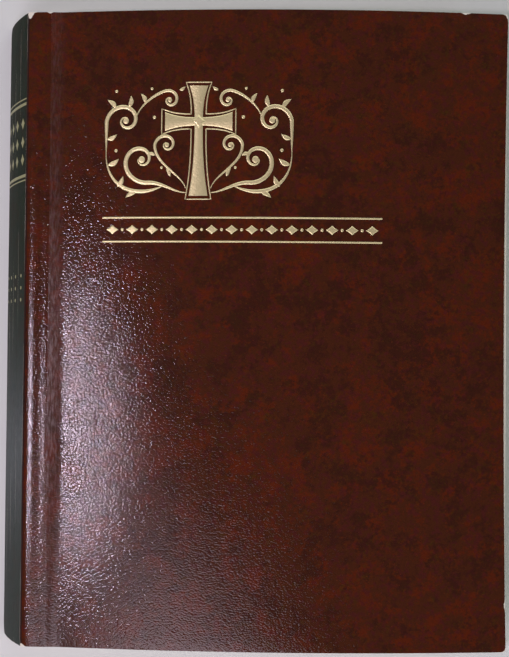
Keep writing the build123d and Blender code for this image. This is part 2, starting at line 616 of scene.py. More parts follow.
def build_edge_wear(tree: Tree, vector: Socket, wear: Socket) -> tuple[Socket, ...]:
    """Build a ragged mask where the wear passes a threshold moved by noise.

    Args:
        tree: the group's tree.
        vector: the place.
        wear: the wear, from 0 to 1.

    Returns:
        The mask.
    """
    coarse = tree.times(tree.noise(vector, 120.0, 2.0, 0.5), 0.45)
    torn = tree.times(tree.noise(vector, 900.0, 4.0, 0.65), 0.55, coarse)
    level = tree.math("ADD", wear, tree.times(torn, 0.9, -0.45))
    return (tree.step(level, 0.47, 0.57),)


def build_painted_sheen(tree: Tree, vector: Socket, rub: Socket, contrast: Socket) -> tuple[Socket, ...]:
    """Build a painted sheen, broken by streaks: a noise drawn out along Y.

    Args:
        tree: the group's tree.
        vector: the place.
        rub: how strong the painted sheen is, from 0 to 1.
        contrast: how strongly the streaks break it.

    Returns:
        The greyed share.
    """
    streak = tree.noise(tree.vector("MULTIPLY", vector, (1.0, 0.2, 1.0)), 1500.0, 3.0, 0.6)
    apart = tree.math("SUBTRACT", tree.step(streak, 0.36, 0.72), 0.45)
    return (tree.times(rub, tree.times(apart, contrast, 1.0), clamp=True),)


def build_paper_fibre(tree: Tree, vector: Socket) -> tuple[Socket, ...]:
    """Return a fine noise for the paper's tooth and a slow one for its toning."""
    return tree.noise(vector, 3200.0, 3.0, 0.6), tree.noise(vector, 26.0, 3.0, 0.5)


class Groups:
    """The node groups that several finishes share."""

    grain = make_group("pebble_grain", ("Height", "Pebble"), build_pebble_grain, Cells=1250.0)
    mottle = make_group("dye_mottle", ("Red", "Dark", "Olive", "Wine", "Speck"), build_mottle)
    wear = make_group("edge_wear", ("Mask",), build_edge_wear, Wear=0.0)
    # Painted sheen: greys the print in streaks where a lamp's glare would fall.
    painted_sheen = make_group("painted_sheen_streaks", ("Share",), build_painted_sheen, Rub=0.0, Contrast=1.5)
    fibre = make_group("paper_fibre", ("Tooth", "Tone"), build_paper_fibre)


# ---- finishes


class Finish(Tree):
    """A material under construction: its tree, its coordinates and its shader."""

    def __init__(self, name: str) -> None:
        """Start a material with a Principled shader.

        Args:
            name: the material's name.
        """
        self.material = bpy.data.materials.new(name)
        self.material.use_nodes = True
        super().__init__(self.material.node_tree)
        self.shader = self.tree.nodes["Principled BSDF"]
        coordinates = self.add("TexCoord").outputs
        self.place, self.uv = coordinates["Object"], coordinates["UV"]

    def group(self, tree: bpy.types.NodeTree, **inputs: Value) -> bpy.types.NodeOutputs:
        """Place a shared group on the Object coordinates and return its outputs."""
        return self.add("Group", {"node_tree": tree}, Vector=self.place, **inputs).outputs

    def mark(self, name: str) -> Socket:
        """Return a float attribute of the mesh."""
        return self.add("Attribute", {"attribute_name": name}).outputs["Fac"]

    def done(self, colour: Socket, rough: Value, height: Socket, depth: float, **values: Value) -> Material:
        """Feed the shader.

        Args:
            colour: the base colour.
            rough: the roughness.
            height: the relief, from 0 to 1.
            depth: the relief's full range in metres.
            values: the shader's further inputs, by name with underscores for spaces.

        Returns:
            The finished material.
        """
        bump = self.add("Bump", None, Height=height, Distance=depth, Strength=1.0).outputs[0]
        values = {"Base_Color": colour, "Roughness": rough, "Normal": bump, **values}
        for name, value in values.items():
            self.feed(self.shader.inputs[name.replace("_", " ")], value)
        return self.material


@dataclass(frozen=True)
class PrintedLeather:
    """Laminated card printed and embossed as mottled leather."""

    name: str = "printed_leather"
    ground: tuple = linear(68, 33, 18)
    red: tuple = linear(85, 32, 14)
    dark: tuple = linear(52, 24, 18)
    olive: tuple = linear(64, 43, 14)
    wine: tuple = linear(72, 27, 28)
    core: tuple = linear(226, 219, 204)
    # Colour of the painted sheen and highlights.
    sheen_colour: tuple = linear(205, 185, 190)
    # Painted shade in the pits of the grain.
    pit_shade: tuple = linear(24, 12, 9)
    flecks: tuple = linear(112, 50, 22)
    grain_depth: float = 0.00005
    matt: float = 0.07
    gloss: float = 0.32
    streaks: float = 1.5

    def make(self) -> Material:
        """Build the material.

        The float attribute wear bares the white core, and the attribute rub paints a sheen, greying the
        print in streaks: a painted highlight.

        Returns:
            The material.
        """
        finish = Finish(self.name)
        mottle, grain = finish.group(Groups.mottle), finish.group(Groups.grain)
        worn = finish.group(Groups.wear, Wear=finish.mark("wear"))["Mask"]
        # Painted sheen: the rub attribute greys the print in streaks in place of a lamp's glare.
        painted_sheen = finish.group(Groups.painted_sheen, Rub=finish.mark("rub"), Contrast=self.streaks)["Share"]
        colour = finish.mix(mottle["Red"], self.ground, self.red)
        patches = ("Olive", 0.7, self.olive), ("Wine", 0.6, self.wine), ("Dark", 0.65, self.dark)
        for patch, share, dye in patches:
            colour = finish.mix(finish.times(mottle[patch], share), colour, dye)
        # Painted shade: the pits between the grain's domes are darkened.
        painted_pit_shade = finish.times(finish.step(grain["Pebble"], 0.75, 0.35), 0.15)
        fleck = finish.times(finish.step(mottle["Speck"], 0.62, 0.74), 0.35)
        layers = (painted_pit_shade, self.pit_shade), (fleck, self.flecks), (painted_sheen, self.sheen_colour), (worn, self.core)
        for share, tone in layers:
            colour = finish.mix(share, colour, tone)
        rough = finish.times(mottle["Speck"], 0.08, self.matt)
        rough = finish.times(worn, 0.4, rough, clamp=True)
        height = finish.math("SUBTRACT", grain["Height"], finish.times(worn, 0.8))
        return finish.done(colour, rough, height, self.grain_depth, Specular_IOR_Level=self.gloss)


@dataclass(frozen=True)
class BareCard:
    """White board: the inside of the cover and its cut rims."""

    name: str = "bare_card"
    clean: tuple = linear(228, 222, 208)
    soiled: tuple = linear(186, 172, 150)
    flecks: tuple = linear(150, 136, 112)

    def make(self) -> Material:
        """Build the material.

        Returns:
            The material.
        """
        finish = Finish(self.name)
        fibre = finish.group(Groups.fibre)
        tone = finish.times(finish.step(fibre["Tone"], 0.4, 0.75), 0.25)
        fleck = finish.times(finish.step(fibre["Tooth"], 0.66, 0.8), 0.25)
        colour = finish.mix(fleck, finish.mix(tone, self.clean, self.soiled), self.flecks)
        return finish.done(colour, finish.times(fibre["Tooth"], 0.2, 0.62), fibre["Tooth"], 0.00003)


@dataclass(frozen=True)
class Gilt:
    """Stamped gold foil: pale metal with rubbed specks and a trace of the leather grain."""

    name: str = "gilt_foil"
    metal: tuple = linear(234, 219, 168)
    rubbed: tuple = linear(160, 130, 82)

    def make(self) -> Material:
        """Build the material.

        Returns:
            The material.
        """
        finish = Finish(self.name)
        height = finish.group(Groups.grain)["Height"]
        rub = finish.noise(finish.place, 700.0, 4.0, 0.65)
        worn = finish.times(finish.step(rub, 0.6, 0.72), 0.6)
        colour = finish.mix(worn, self.metal, self.rubbed)
        return finish.done(colour, finish.times(rub, 0.25, 0.22), height, 0.00003, Metallic=0.55)


@dataclass(frozen=True)
class PageEdge:
    """Cut edges of many thin leaves. The UV's second value counts the leaves."""

    paper: tuple = linear(236, 230, 214)
    # Painted shade between leaves.
    gap: tuple = linear(176, 164, 140)
    toned: tuple = linear(214, 200, 170)

    def make(self) -> Material:
        """Build the material.

        A soft line of painted shade lies between every two leaves, and each leaf has its own random tone.

        Returns:
            The material.
        """
        finish = Finish("page_edges")
        count = finish.add("SeparateXYZ", None, i0=finish.uv).outputs["Y"]
        wave = finish.times(finish.noise(finish.place, 60.0, 2.0), 0.8, count)
        groove = finish.math("ABSOLUTE", finish.math("SUBTRACT", finish.math("FRACT", wave), 0.5))
        between = finish.step(groove, 0.3, 0.5)
        leaf = finish.math("FLOOR", wave)
        chance = finish.add("TexWhiteNoise", {"noise_dimensions": "1D"}, W=leaf).outputs["Value"]
        # Painted shade in the line between leaves, together with a random tone for each leaf.
        shade = finish.times(finish.times(chance, 0.6, between), 0.55, clamp=True)
        tone = finish.times(finish.step(finish.noise(finish.place, 38.0, 3.0), 0.45, 0.75), 0.6)
        colour = finish.mix(tone, finish.mix(shade, self.paper, self.gap), self.toned)
        return finish.done(colour, 0.8, finish.math("SUBTRACT", 1.0, between), 0.00002)


@dataclass(frozen=True)
class PageFace:
    """Thin opaque paper. Printed faces show the grey of two columns, with no letters."""

    name: str
    printed: bool
    paper: tuple = linear(238, 233, 220)
    toned: tuple = linear(222, 211, 188)
    ink: tuple = linear(92, 88, 84)
    line_pitch: float = 3.1
    column: float = 68.0
    gutter: float = 7.0
    margin_head: float = 17.0
    margin_tail: float = 16.0
    margin_inner: float = 20.0
    row_edge: tuple[float, float] = (0.19, 0.27)
    word_scale: float = 0.55
    row_shift: float = 7.3
    stroke_scale: tuple[float, float] = (3.4, 3.0)

    def spots(self, finish: Finish, x: Socket, y: Socket) -> Socket:
        """Return a noise over a plane whose places are given by x and y."""
        return finish.noise(finish.add("CombineXYZ", None, X=x, Y=y).outputs[0], 1.0, 1.0, 0.5)

    def ink_share(self, finish: Finish) -> Socket:
        """Return where ink lies: rows inside two columns, broken into runs by noise.

        Args:
            finish: the material under construction, whose UV is in millimetres,
                from the spine across and from the tail up.

        Returns:
            A mask from 0 to 1.
        """
        across, up, _ = finish.add("SeparateXYZ", None, i0=finish.uv).outputs
        row = finish.math("DIVIDE", up, self.line_pitch)
        in_row = finish.math("ABSOLUTE", finish.math("SUBTRACT", finish.math("FRACT", row), 0.5))
        band = finish.math("SUBTRACT", 1.0, finish.step(in_row, *self.row_edge))
        number = finish.times(finish.math("FLOOR", row), self.row_shift)
        word = finish.step(self.spots(finish, finish.times(across, self.word_scale), number), 0.33, 0.38)
        places = (finish.times(value, scale) for value, scale in zip((across, up), self.stroke_scale))
        stroke = finish.times(finish.step(self.spots(finish, *places), 0.35, 0.6), 0.6, 0.4)
        ink = finish.times(finish.times(band, word), stroke)
        starts = self.margin_inner, self.margin_inner + self.column + self.gutter
        columns = [finish.inside(across, start, self.column) for start in starts]
        height = 2 * BOOK.half_height - self.margin_head - self.margin_tail
        page = finish.inside(up, self.margin_tail, height)
        return finish.times(ink, finish.times(finish.math("ADD", *columns, clamp=True), page))

    def make(self) -> Material:
        """Build the material.

        Returns:
            The material.
        """
        finish = Finish(self.name)
        fibre = finish.group(Groups.fibre)
        tone = finish.times(finish.step(fibre["Tone"], 0.45, 0.8), 0.5)
        colour = finish.mix(tone, self.paper, self.toned)
        if self.printed:
            colour = finish.mix(finish.times(self.ink_share(finish), 0.8), colour, self.ink)
        return finish.done(colour, finish.times(fibre["Tooth"], 0.15, 0.62), fibre["Tooth"], 0.00002)


@dataclass(frozen=True)
class HotMelt:
    """Set adhesive: waxy, cream to amber, with a slightly rippled face."""

    pale: tuple = linear(226, 212, 176)
    amber: tuple = linear(190, 160, 108)

    def make(self) -> Material:
        """Build the material.

        Returns:
            The material.
        """
        finish = Finish("hot_melt")
        ripple = finish.noise(finish.place, 480.0, 3.0)
        colour = finish.mix(finish.step(ripple, 0.4, 0.7), self.pale, self.amber)
        return finish.done(colour, finish.times(ripple, 0.25, 0.3), ripple, 0.0001)


class Finishes:
    """Every material of the book, made once."""

    leather = PrintedLeather().make()
    # The spine's dark green-grey dyes are painted reflection of green surroundings and painted shade, over a
    # mottle of its own.
    spine = PrintedLeather(
        "painted_reflection_leather", linear(30, 41, 28), linear(36, 36, 23), linear(21, 31, 24),
        linear(27, 46, 30), linear(34, 38, 34), sheen_colour=linear(150, 155, 160),
        matt=0.55, gloss=0.04, streaks=0.4,
    ).make()
    # Darker, duller leather: painted shade on the first steps of the front fold; round the gilt it is
    # leather darkened by the hot stamp together with painted shade.
    pressed_and_shaded = PrintedLeather(
        "pressed_and_shaded_leather", linear(42, 19, 13), linear(50, 20, 13), linear(30, 15, 13),
        linear(36, 23, 13), linear(44, 18, 17), matt=0.45, gloss=0.12,
    ).make()
    card = BareCard().make()
    gilt = Gilt().make()
    dull_gilt = Gilt("dull_gilt", linear(150, 146, 92), linear(92, 84, 52)).make()
    edge = PageEdge().make()
    blank = PageFace("page_blank", False).make()
    printed = PageFace("page_printed", True).make()
    endpaper = BareCard("endpaper", linear(232, 226, 212), linear(212, 201, 178)).make()
    glue = HotMelt().make()
    cover = leather, card, card


# ---- wear


@dataclass(frozen=True)
class WearSpot:
    """A rubbed place on the front cover: millimetres from the spine edge and from the head."""

    across: float
    down: float
    radius: float
    strength: float


@dataclass(frozen=True)
class CoverWear:
    """Where the printed face of the card has rubbed through to its white core."""

    rim: float = 0.5
    rim_width: float = 0.28
    spots: tuple[WearSpot, ...] = (
        WearSpot(0.6, 0.0, 1.5, 1.0),
        WearSpot(0.3, 2.0, 0.9, 0.5),
        WearSpot(8.0, 0.0, 0.9, 0.6),
        WearSpot(162.0, 0.0, 1.2, 0.6),
        WearSpot(178.0, 0.0, 1.7, 0.8),
        WearSpot(178.0, 218.0, 1.2, 0.7),
        WearSpot(178.0, 235.0, 1.3, 0.6),
        WearSpot(0.0, 235.0, 1.4, 0.8),
        WearSpot(70.0, 235.0, 0.9, 0.4),
    )

    def along_rim(self, distance: Array) -> Array:
        """Return the wear beside a cut edge, rim times exp(-distance / rim_width)."""
        return self.rim * np.exp(-distance / self.rim_width)

    def at(self, x: Array, y: Array, distance: Array) -> Array:
        """Return the wear at points of the front cover.

        Each spot adds a bell of the gap to its centre to the wear along the rim.

        Args:
            x: X across the book.
            y: Y along the book.
            distance: how far each point lies from the nearest cut edge.

        Returns:
            Values from 0, sound, to 1, bare.
        """
        value = self.along_rim(distance)
        for spot in self.spots:
            gap = np.hypot(x - BOOK.spine_edge - spot.across, BOOK.half_height - spot.down - y)
            value = value + spot.strength * bell(gap, spot.radius)
        return np.clip(value, 0, 1)


WEAR = CoverWear()


@dataclass(frozen=True)
class SheenBand:
    """A band of painted highlight beside the spine: a bell across the book times a bell along it."""

    strength: float
    across: float
    width: float
    along: float
    length: float

    def at(self, across: Array, along: Array) -> Array:
        """Return the painted highlight at points given from the spine edge and from mid-height."""
        inward = self.strength * bell(across - self.across, self.width)
        return inward * bell(along - self.along, self.length)


# ---- cover


@dataclass
class CoverPanels:
    """The two panels: bowed front, flat back, both with worn corners."""

    rows: int = 150
    columns: int = 110
    corner: float = 1.1
    front_draw_in: float = 1.2
    back_draw_in: float = 0.2
    rim_bulge: float = 0.05
    curl: float = 0.12
    curl_reach: float = 2.5
    # A painted sheen beside the crease, greying the print where a lamp's glare would fall.
    crease_sheen: float = 0.15
    crease_sheen_reach: float = 4.4
    crease_sheen_even: float = 0.15
    crease_sheen_middle: float = -14.0
    crease_sheen_length: float = 46.0
    front_bend: float = 3.6
    back_bend: float = 1.6

    def fore_edge(self, fore_x: float, draw_in: float, along: Array) -> Array:
        """Return X of a fore edge, drawn in by a parabola of the share of the way to a corner."""
        return fore_x - self.rim_bulge - draw_in * (1 - along**2)

    def plan(self, crease_x: float, fore_x: float, draw_in: float) -> tuple[Array, Array]:
        """Return X and Y of a panel's grid.

        Columns crowd towards both ends. In the last millimetres the rows close up along a
        quarter circle, which rounds the corners.

        Args:
            crease_x: X of the crease.
            fore_x: X of the fore edge at its corners.
            draw_in: how far its middle is drawn in.

        Returns:
            X and Y, each of rows by columns.
        """
        along = fine_ends(-1, 1, self.rows)[:, None]
        edge = self.fore_edge(fore_x, draw_in, along)
        x = crease_x + fine_ends(0, 1, self.columns)[None, :] * (edge - crease_x)
        past = np.clip(x - (edge - self.corner), 0, self.corner)
        bite = self.corner - np.sqrt(self.corner**2 - past**2)
        return x, along * (BOOK.half_height - self.rim_bulge - bite)

    def panel(self, cover: Cover, outer: Array, inner: Array, crease: float, bend: float) -> Piece:
        """Build one panel from its two faces.

        Args:
            cover: which panel.
            outer: the printed face.
            inner: the bare face.
            crease: X of the crease.
            bend: width of the bend; not used.

        Returns:
            The piece, whose wear is stored per vertex.
        """
        points, faces, slots = closed_sheet(outer, inner, self.rim_bulge)
        x, y = points[:, 0], points[:, 1]
        if cover is Cover.FRONT:
            fore = self.fore_edge(BOOK.front_fore_x, self.front_draw_in, y / BOOK.half_height)
            wear = WEAR.at(x, y, np.clip(np.minimum(BOOK.to_end(y), fore - x), 0, None))
            # Painted sheen: greys the print just past the crease, strongest a little below mid-height.
            near = np.exp(-(((x - crease) / self.crease_sheen_reach) ** 4))
            middle = (1 - self.crease_sheen_even) * bell(y - self.crease_sheen_middle, self.crease_sheen_length)
            marks = {"wear": wear, "rub": self.crease_sheen * near * (self.crease_sheen_even + middle)}
        else:
            distance = np.minimum(BOOK.to_end(y), BOOK.back_fore_x - x)
            marks = {"wear": WEAR.along_rim(np.clip(distance, 0, None))}
        node = f"{cover.value}_cover"
        piece = new_piece(
            f"{node}_panel", points, faces, Finishes.cover, slots, uv=points[:, :2], marks=marks
        )
        return stand_for(piece, node, f"{cover.value}_hinge_strip")

    def front(self) -> Piece:
        """Build the front panel, on the book's cover_top, its ends curled down a little.

        Returns:
            The piece.
        """
        crease = BOOK.front_crease[0]
        x, y = self.plan(crease, BOOK.front_fore_x, self.front_draw_in)
        top = BOOK.cover_top(x, y) - self.curl * np.exp(-BOOK.to_end(y) / self.curl_reach)
        outer, inner = grid(x, y, top), grid(x, y, top - BOOK.card)
        return self.panel(Cover.FRONT, outer, inner, crease, self.front_bend)

    def back(self) -> Piece:
        """Build the back panel, printed side down.

        Returns:
            The piece.
        """
        crease = BOOK.back_crease_x
        x, y = self.plan(crease, BOOK.back_fore_x, self.back_draw_in)
        return self.panel(Cover.BACK, grid(x, y, 0.0), grid(x, y, BOOK.card), crease, self.back_bend)


@dataclass
class SpineWrap:
    """The card round the spine: both glued hinge strips and four lengths of spine card."""

    rows: int = 150
    fold_steps: int = 14
    ridge_columns: int = 26
    card_columns: int = 16
    crush_head: float = 0.315
    crush_tail: float = 0.245
    crush_spine: float = 0.3
    crush_reach: float = 1.6
    crush_sink: float = 0.25
    fold_shift: float = 0.05
    long_wobble: float = 0.025
    short_wobble: float = 0.02
    fold_reach: tuple[float, float] = (1.5, 1.95)
    fold_wear: float = 0.4
    fold_wear_width: float = 0.5
    # Painted highlights: a bright line along the front fold's crest and a fainter band on the ridge.
    sheen_bands: tuple[SheenBand, ...] = (SheenBand(0.55, 2.4, 0.5, -32, 30), SheenBand(0.14, 7.0, 1.2, -46, 26))
    # Painted reflection on the spine: lighter towards the tail, and in a band low down.
    tail_reflection: float = 0.08
    tail_reflection_reach: float = 12.0
    spine_reflection: float = 0.2
    spine_reflection_middle: float = -46.0
    spine_reflection_length: float = 26.0
    # Steps of the front fold that take the darker pressed leather, as painted shade.
    shaded_fold_steps: int = 7
    parting: float = 0.004
    parting_depth: float = 0.07
    parting_width: float = 0.35
    parting_wear: float = 0.28
    parting_wear_reach: float = 0.5
    ripple: float = 0.03

    def fold(self, start: Array, start_slope: float, end: Array, end_slope: float) -> Array:
        """Return the points of a fold from the spine to the flat.

        The tangents at both ends meet in a corner. The fold is the quadratic curve through
        start, corner and end with the corner weighted by the cosine of half the turn.

        Args:
            start: X and Z where the fold leaves the spine.
            start_slope: the spine's X per Z there.
            end: X and Z where the fold runs into the flat.
            end_slope: the flat's Z per X there.

        Returns:
            Fold_steps points.
        """
        rise = (end[1] - start[1] - end_slope * (end[0] - start[0])) / (1 - end_slope * start_slope)
        corner = start + rise * np.array([start_slope, 1.0])
        into, out = corner - start, end - corner
        cosine = float(into @ out / (np.linalg.norm(into) * np.linalg.norm(out)))
        t = np.linspace(0, 1, self.fold_steps)[:, None]
        first, second, third = (1 - t) ** 2, 2 * t * (1 - t) * math.sqrt((1 + cosine) / 2), t**2
        return (first * start + second * corner + third * end) / (first + second + third)

    def profile(self, cover: Cover, lift: int) -> Array:
        """Return a hinge strip's cross-section at one depth of the card.

        Args:
            cover: which strip; the front one slopes down to its crease.
            lift: 0 for the outer face, 1 for the inner one.

        Returns:
            X and Z from the spine to the crease.
        """
        front = cover is Cover.FRONT
        start_z = BOOK.spine_levels[-1 if front else 0]
        start = np.array([BOOK.spine_x(start_z) + lift * self.slant(), start_z])
        start_slope = float(np.polyval(np.polyder(BOOK.spine_curve), start_z))
        if front:
            end_x, crease_x = BOOK.spine_edge + self.fold_reach[lift], BOOK.front_crease[0]
            short = 0.01
            ends = BOOK.cover_profile(np.array([end_x, end_x + short]))
            end_slope = (ends[1] - ends[0]) / short
        else:
            end_x, crease_x = start[0] + start_z - lift * BOOK.card, BOOK.back_crease_x
            end_slope = 0.0
        x = np.linspace(end_x, crease_x, self.ridge_columns)
        z = BOOK.cover_profile(x) - lift * BOOK.card if front else np.full_like(x, lift * BOOK.card)
        fold = self.fold(start, start_slope, np.array([x[0], z[0]]), end_slope)
        return np.vstack([fold, np.stack([x, z], axis=1)[1:]])

    def slant(self) -> float:
        """Return the spine card's thickness along X, where the spine leans."""
        high = box_mm("spine_card_1")[1]
        return high[0] - BOOK.spine_x(high[2])

    def layer(self, cover: Cover, lift: int) -> Array:
        """Return one face of a hinge strip, its fold crushed a little at head and tail.

        The cross-section is carried along Y. Near each end the points of the fold move
        inward by crush times exp(-gap / reach), which rounds the book's worn spine corners,
        and the front fold sinks by the size of two slow waves.

        Args:
            cover: which strip.
            lift: 0 for the outer face, 1 for the inner one.

        Returns:
            The face's grid.
        """
        profile = self.profile(cover, lift)
        y = fine_ends(-BOOK.half_height, BOOK.half_height, self.rows)[:, None]
        share = np.clip(1 - np.arange(len(profile)) / self.fold_steps, 0, 1)
        head = self.crush_head * np.exp(-(BOOK.half_height - y) / self.crush_reach)
        tail = self.crush_tail * np.exp(-(BOOK.half_height + y) / self.crush_reach)
        push = (head + tail) * share
        x = profile[:, 0] + push + self.fold_shift * share
        if cover is Cover.BACK:
            return grid(x, y, profile[:, 1] + self.crush_sink * push)
        wobble = self.long_wobble * np.sin(y / 9.0) + self.short_wobble * np.sin(y / 3.7 + 1.0)
        return grid(x, y, profile[:, 1] - self.crush_sink * push - np.abs(wobble) * share)

    def strip(self, cover: Cover) -> Piece:
        """Build one hinge strip: the front one has painted highlights along its fold and painted shade on
        the fold's first steps; the back one is bared along its fold.

        Args:
            cover: which strip.

        Returns:
            The piece.
        """
        outer, inner = (self.layer(cover, lift) for lift in (0, 1))
        points, faces, slots = closed_sheet(outer, inner)
        x, y = points[:, 0], points[:, 1]
        gap = BOOK.to_end(y)
        if cover is Cover.FRONT:
            wear = WEAR.at(x, y, gap)
            # Painted highlight bands that grey the print along the fold.
            rub = sum(band.at(x - BOOK.spine_edge, y) for band in self.sheen_bands)
            across = outer.shape[1] - 1
            column = np.arange((self.rows - 1) * across) % across
            # The fold's first steps take the darker pressed leather: painted shade on the fold.
            slots[:len(column)][column < self.shaded_fold_steps] = len(Side)
        else:
            bared = self.fold_wear * bell(x - BOOK.spine_x(0.0), self.fold_wear_width)
            wear = WEAR.along_rim(gap) + bared
            rub = np.zeros(len(points))
        node = f"{cover.value}_hinge_strip"
        piece = new_piece(
            f"{node}_card", points, faces, (*Finishes.cover, Finishes.pressed_and_shaded), slots,
            uv=points[:, :2], marks={"wear": wear, "rub": rub},
        )
        return stand_for(piece, node)

    def glue(self) -> Piece:
        """Build the side glue: a bed from the endleaf's strip up to the front strip's card.

        Returns:
            The piece.
        """
        x, height = self.profile(Cover.FRONT, 1)[2:].T
        y = fine_ends(-BOOK.half_height, BOOK.half_height, self.rows // 3)[:, None]
        low = box_mm("front_side_glue")[0][2]
        points, faces, slots = closed_sheet(grid(x, y, height), grid(x, y, low))
        glue = (Finishes.glue,) * len(Side)
        piece = new_piece("front_side_glue_bed", points, faces, glue, slots, uv=points[:, :2])
        return stand_for(piece, "front_side_glue")

    def card(self, number: int) -> Piece:
        """Build one length of spine card, number 1 beside the front cover.

        X follows the spine's curve. The ends are crushed inward at head and tail, and two
        faint reading creases, bells of the distance to the parting, run along the card
        where the packets part.

        Args:
            number: which length, from 1 to 4.

        Returns:
            The piece.
        """
        low, high = BOOK.spine_levels[4 - number], BOOK.spine_levels[5 - number]
        y = fine_ends(-BOOK.half_height, BOOK.half_height, self.rows)[:, None]
        z = fine_ends(low + self.parting, high - self.parting, self.card_columns, crowd=1.6)[None, :]
        edge = np.minimum(z - low, high - z)
        crease = self.parting_depth * bell(edge, self.parting_width)
        crease = crease * (0.7 + 0.3 * np.sin(y / 12.0 + number))
        crushed = self.crush_spine * np.exp(-BOOK.to_end(y) / self.crush_reach)
        ripple = self.ripple * (1 + np.sin(y / 5.3 + number * 1.7) * np.sin(z / 1.9))
        inward = crease + crushed + ripple * np.clip(edge / 0.5, 0, 1)
        outer = grid(BOOK.spine_x(z) + inward, y, z)
        inner = grid(BOOK.spine_x(z) + self.slant(), y, z)
        points, faces, slots = closed_sheet(outer, inner)
        y, z = points[:, 1], points[:, 2]
        parting = np.abs(z - BOOK.spine_levels[1:-1, None]).min(0) / self.parting_wear_reach
        wear = WEAR.along_rim(BOOK.to_end(y)) + self.parting_wear * np.clip(1 - parting, 0, 1)
        # Painted reflection: the spine is greyed lighter towards the tail and in a band low down.
        rub = self.tail_reflection / (1 + np.exp(y / self.tail_reflection_reach))
        rub += self.spine_reflection * bell(y - self.spine_reflection_middle, self.spine_reflection_length)
        piece = new_piece(
            f"spine_card_{number}_print", points, faces, (Finishes.spine, *Finishes.cover[1:]), slots,
            uv=points[:, 1:], marks={"wear": np.clip(wear, 0, 1), "rub": rub},
        )
        return stand_for(piece, f"spine_card_{number}")


# ---- leaves and sections


@dataclass
class Endleaves:
    """The two free endleaves, of stiffer paper, one inside each cover."""

    rows: int = 60
    columns: int = 80
    corner: float = 0.6
    set_back: float = 0.04
    wave: float = 0.06
    front_bend: float = 4.0
    back_bend: float = 2.2

    def leaf(self, cover: Cover) -> Piece:
        """Build one endleaf: a thin sheet on the same parabola as the pages beside it.

        Args:
            cover: the cover that it lies inside.

        Returns:
            The piece.
        """
        front = cover is Cover.FRONT
        node = f"{cover.value}_endleaf"
        low, high = box_mm(node)
        along = fine_ends(-1, 1, self.rows)[:, None]
        across = fine_ends(0, 1, self.columns)[None, :]
        x = low[0] + across * (high[0] - low[0])
        past = np.clip(x - (high[0] - self.corner), 0, self.corner)
        bite = self.corner - np.sqrt(self.corner**2 - past**2)
        y = along * (BOOK.half_height - self.set_back - bite)
        thickness = high[2] - low[2] - (BOOK.bow if front else 0.0)
        bottom = low[2] + self.wave * np.sin(y / 23 + x / 31) * 4 * across * (1 - across)
        if front:
            bottom = bottom + BOOK.swell(across * BOOK.panel_reach)
        points, faces, slots = closed_sheet(grid(x, y, bottom + thickness), grid(x, y, bottom))
        paper = (Finishes.endpaper,) * len(Side)
        piece = new_piece(f"{node}_sheet", points, faces, paper, slots, uv=points[:, :2])
        return stand_for(piece, node, f"{node}_strip")


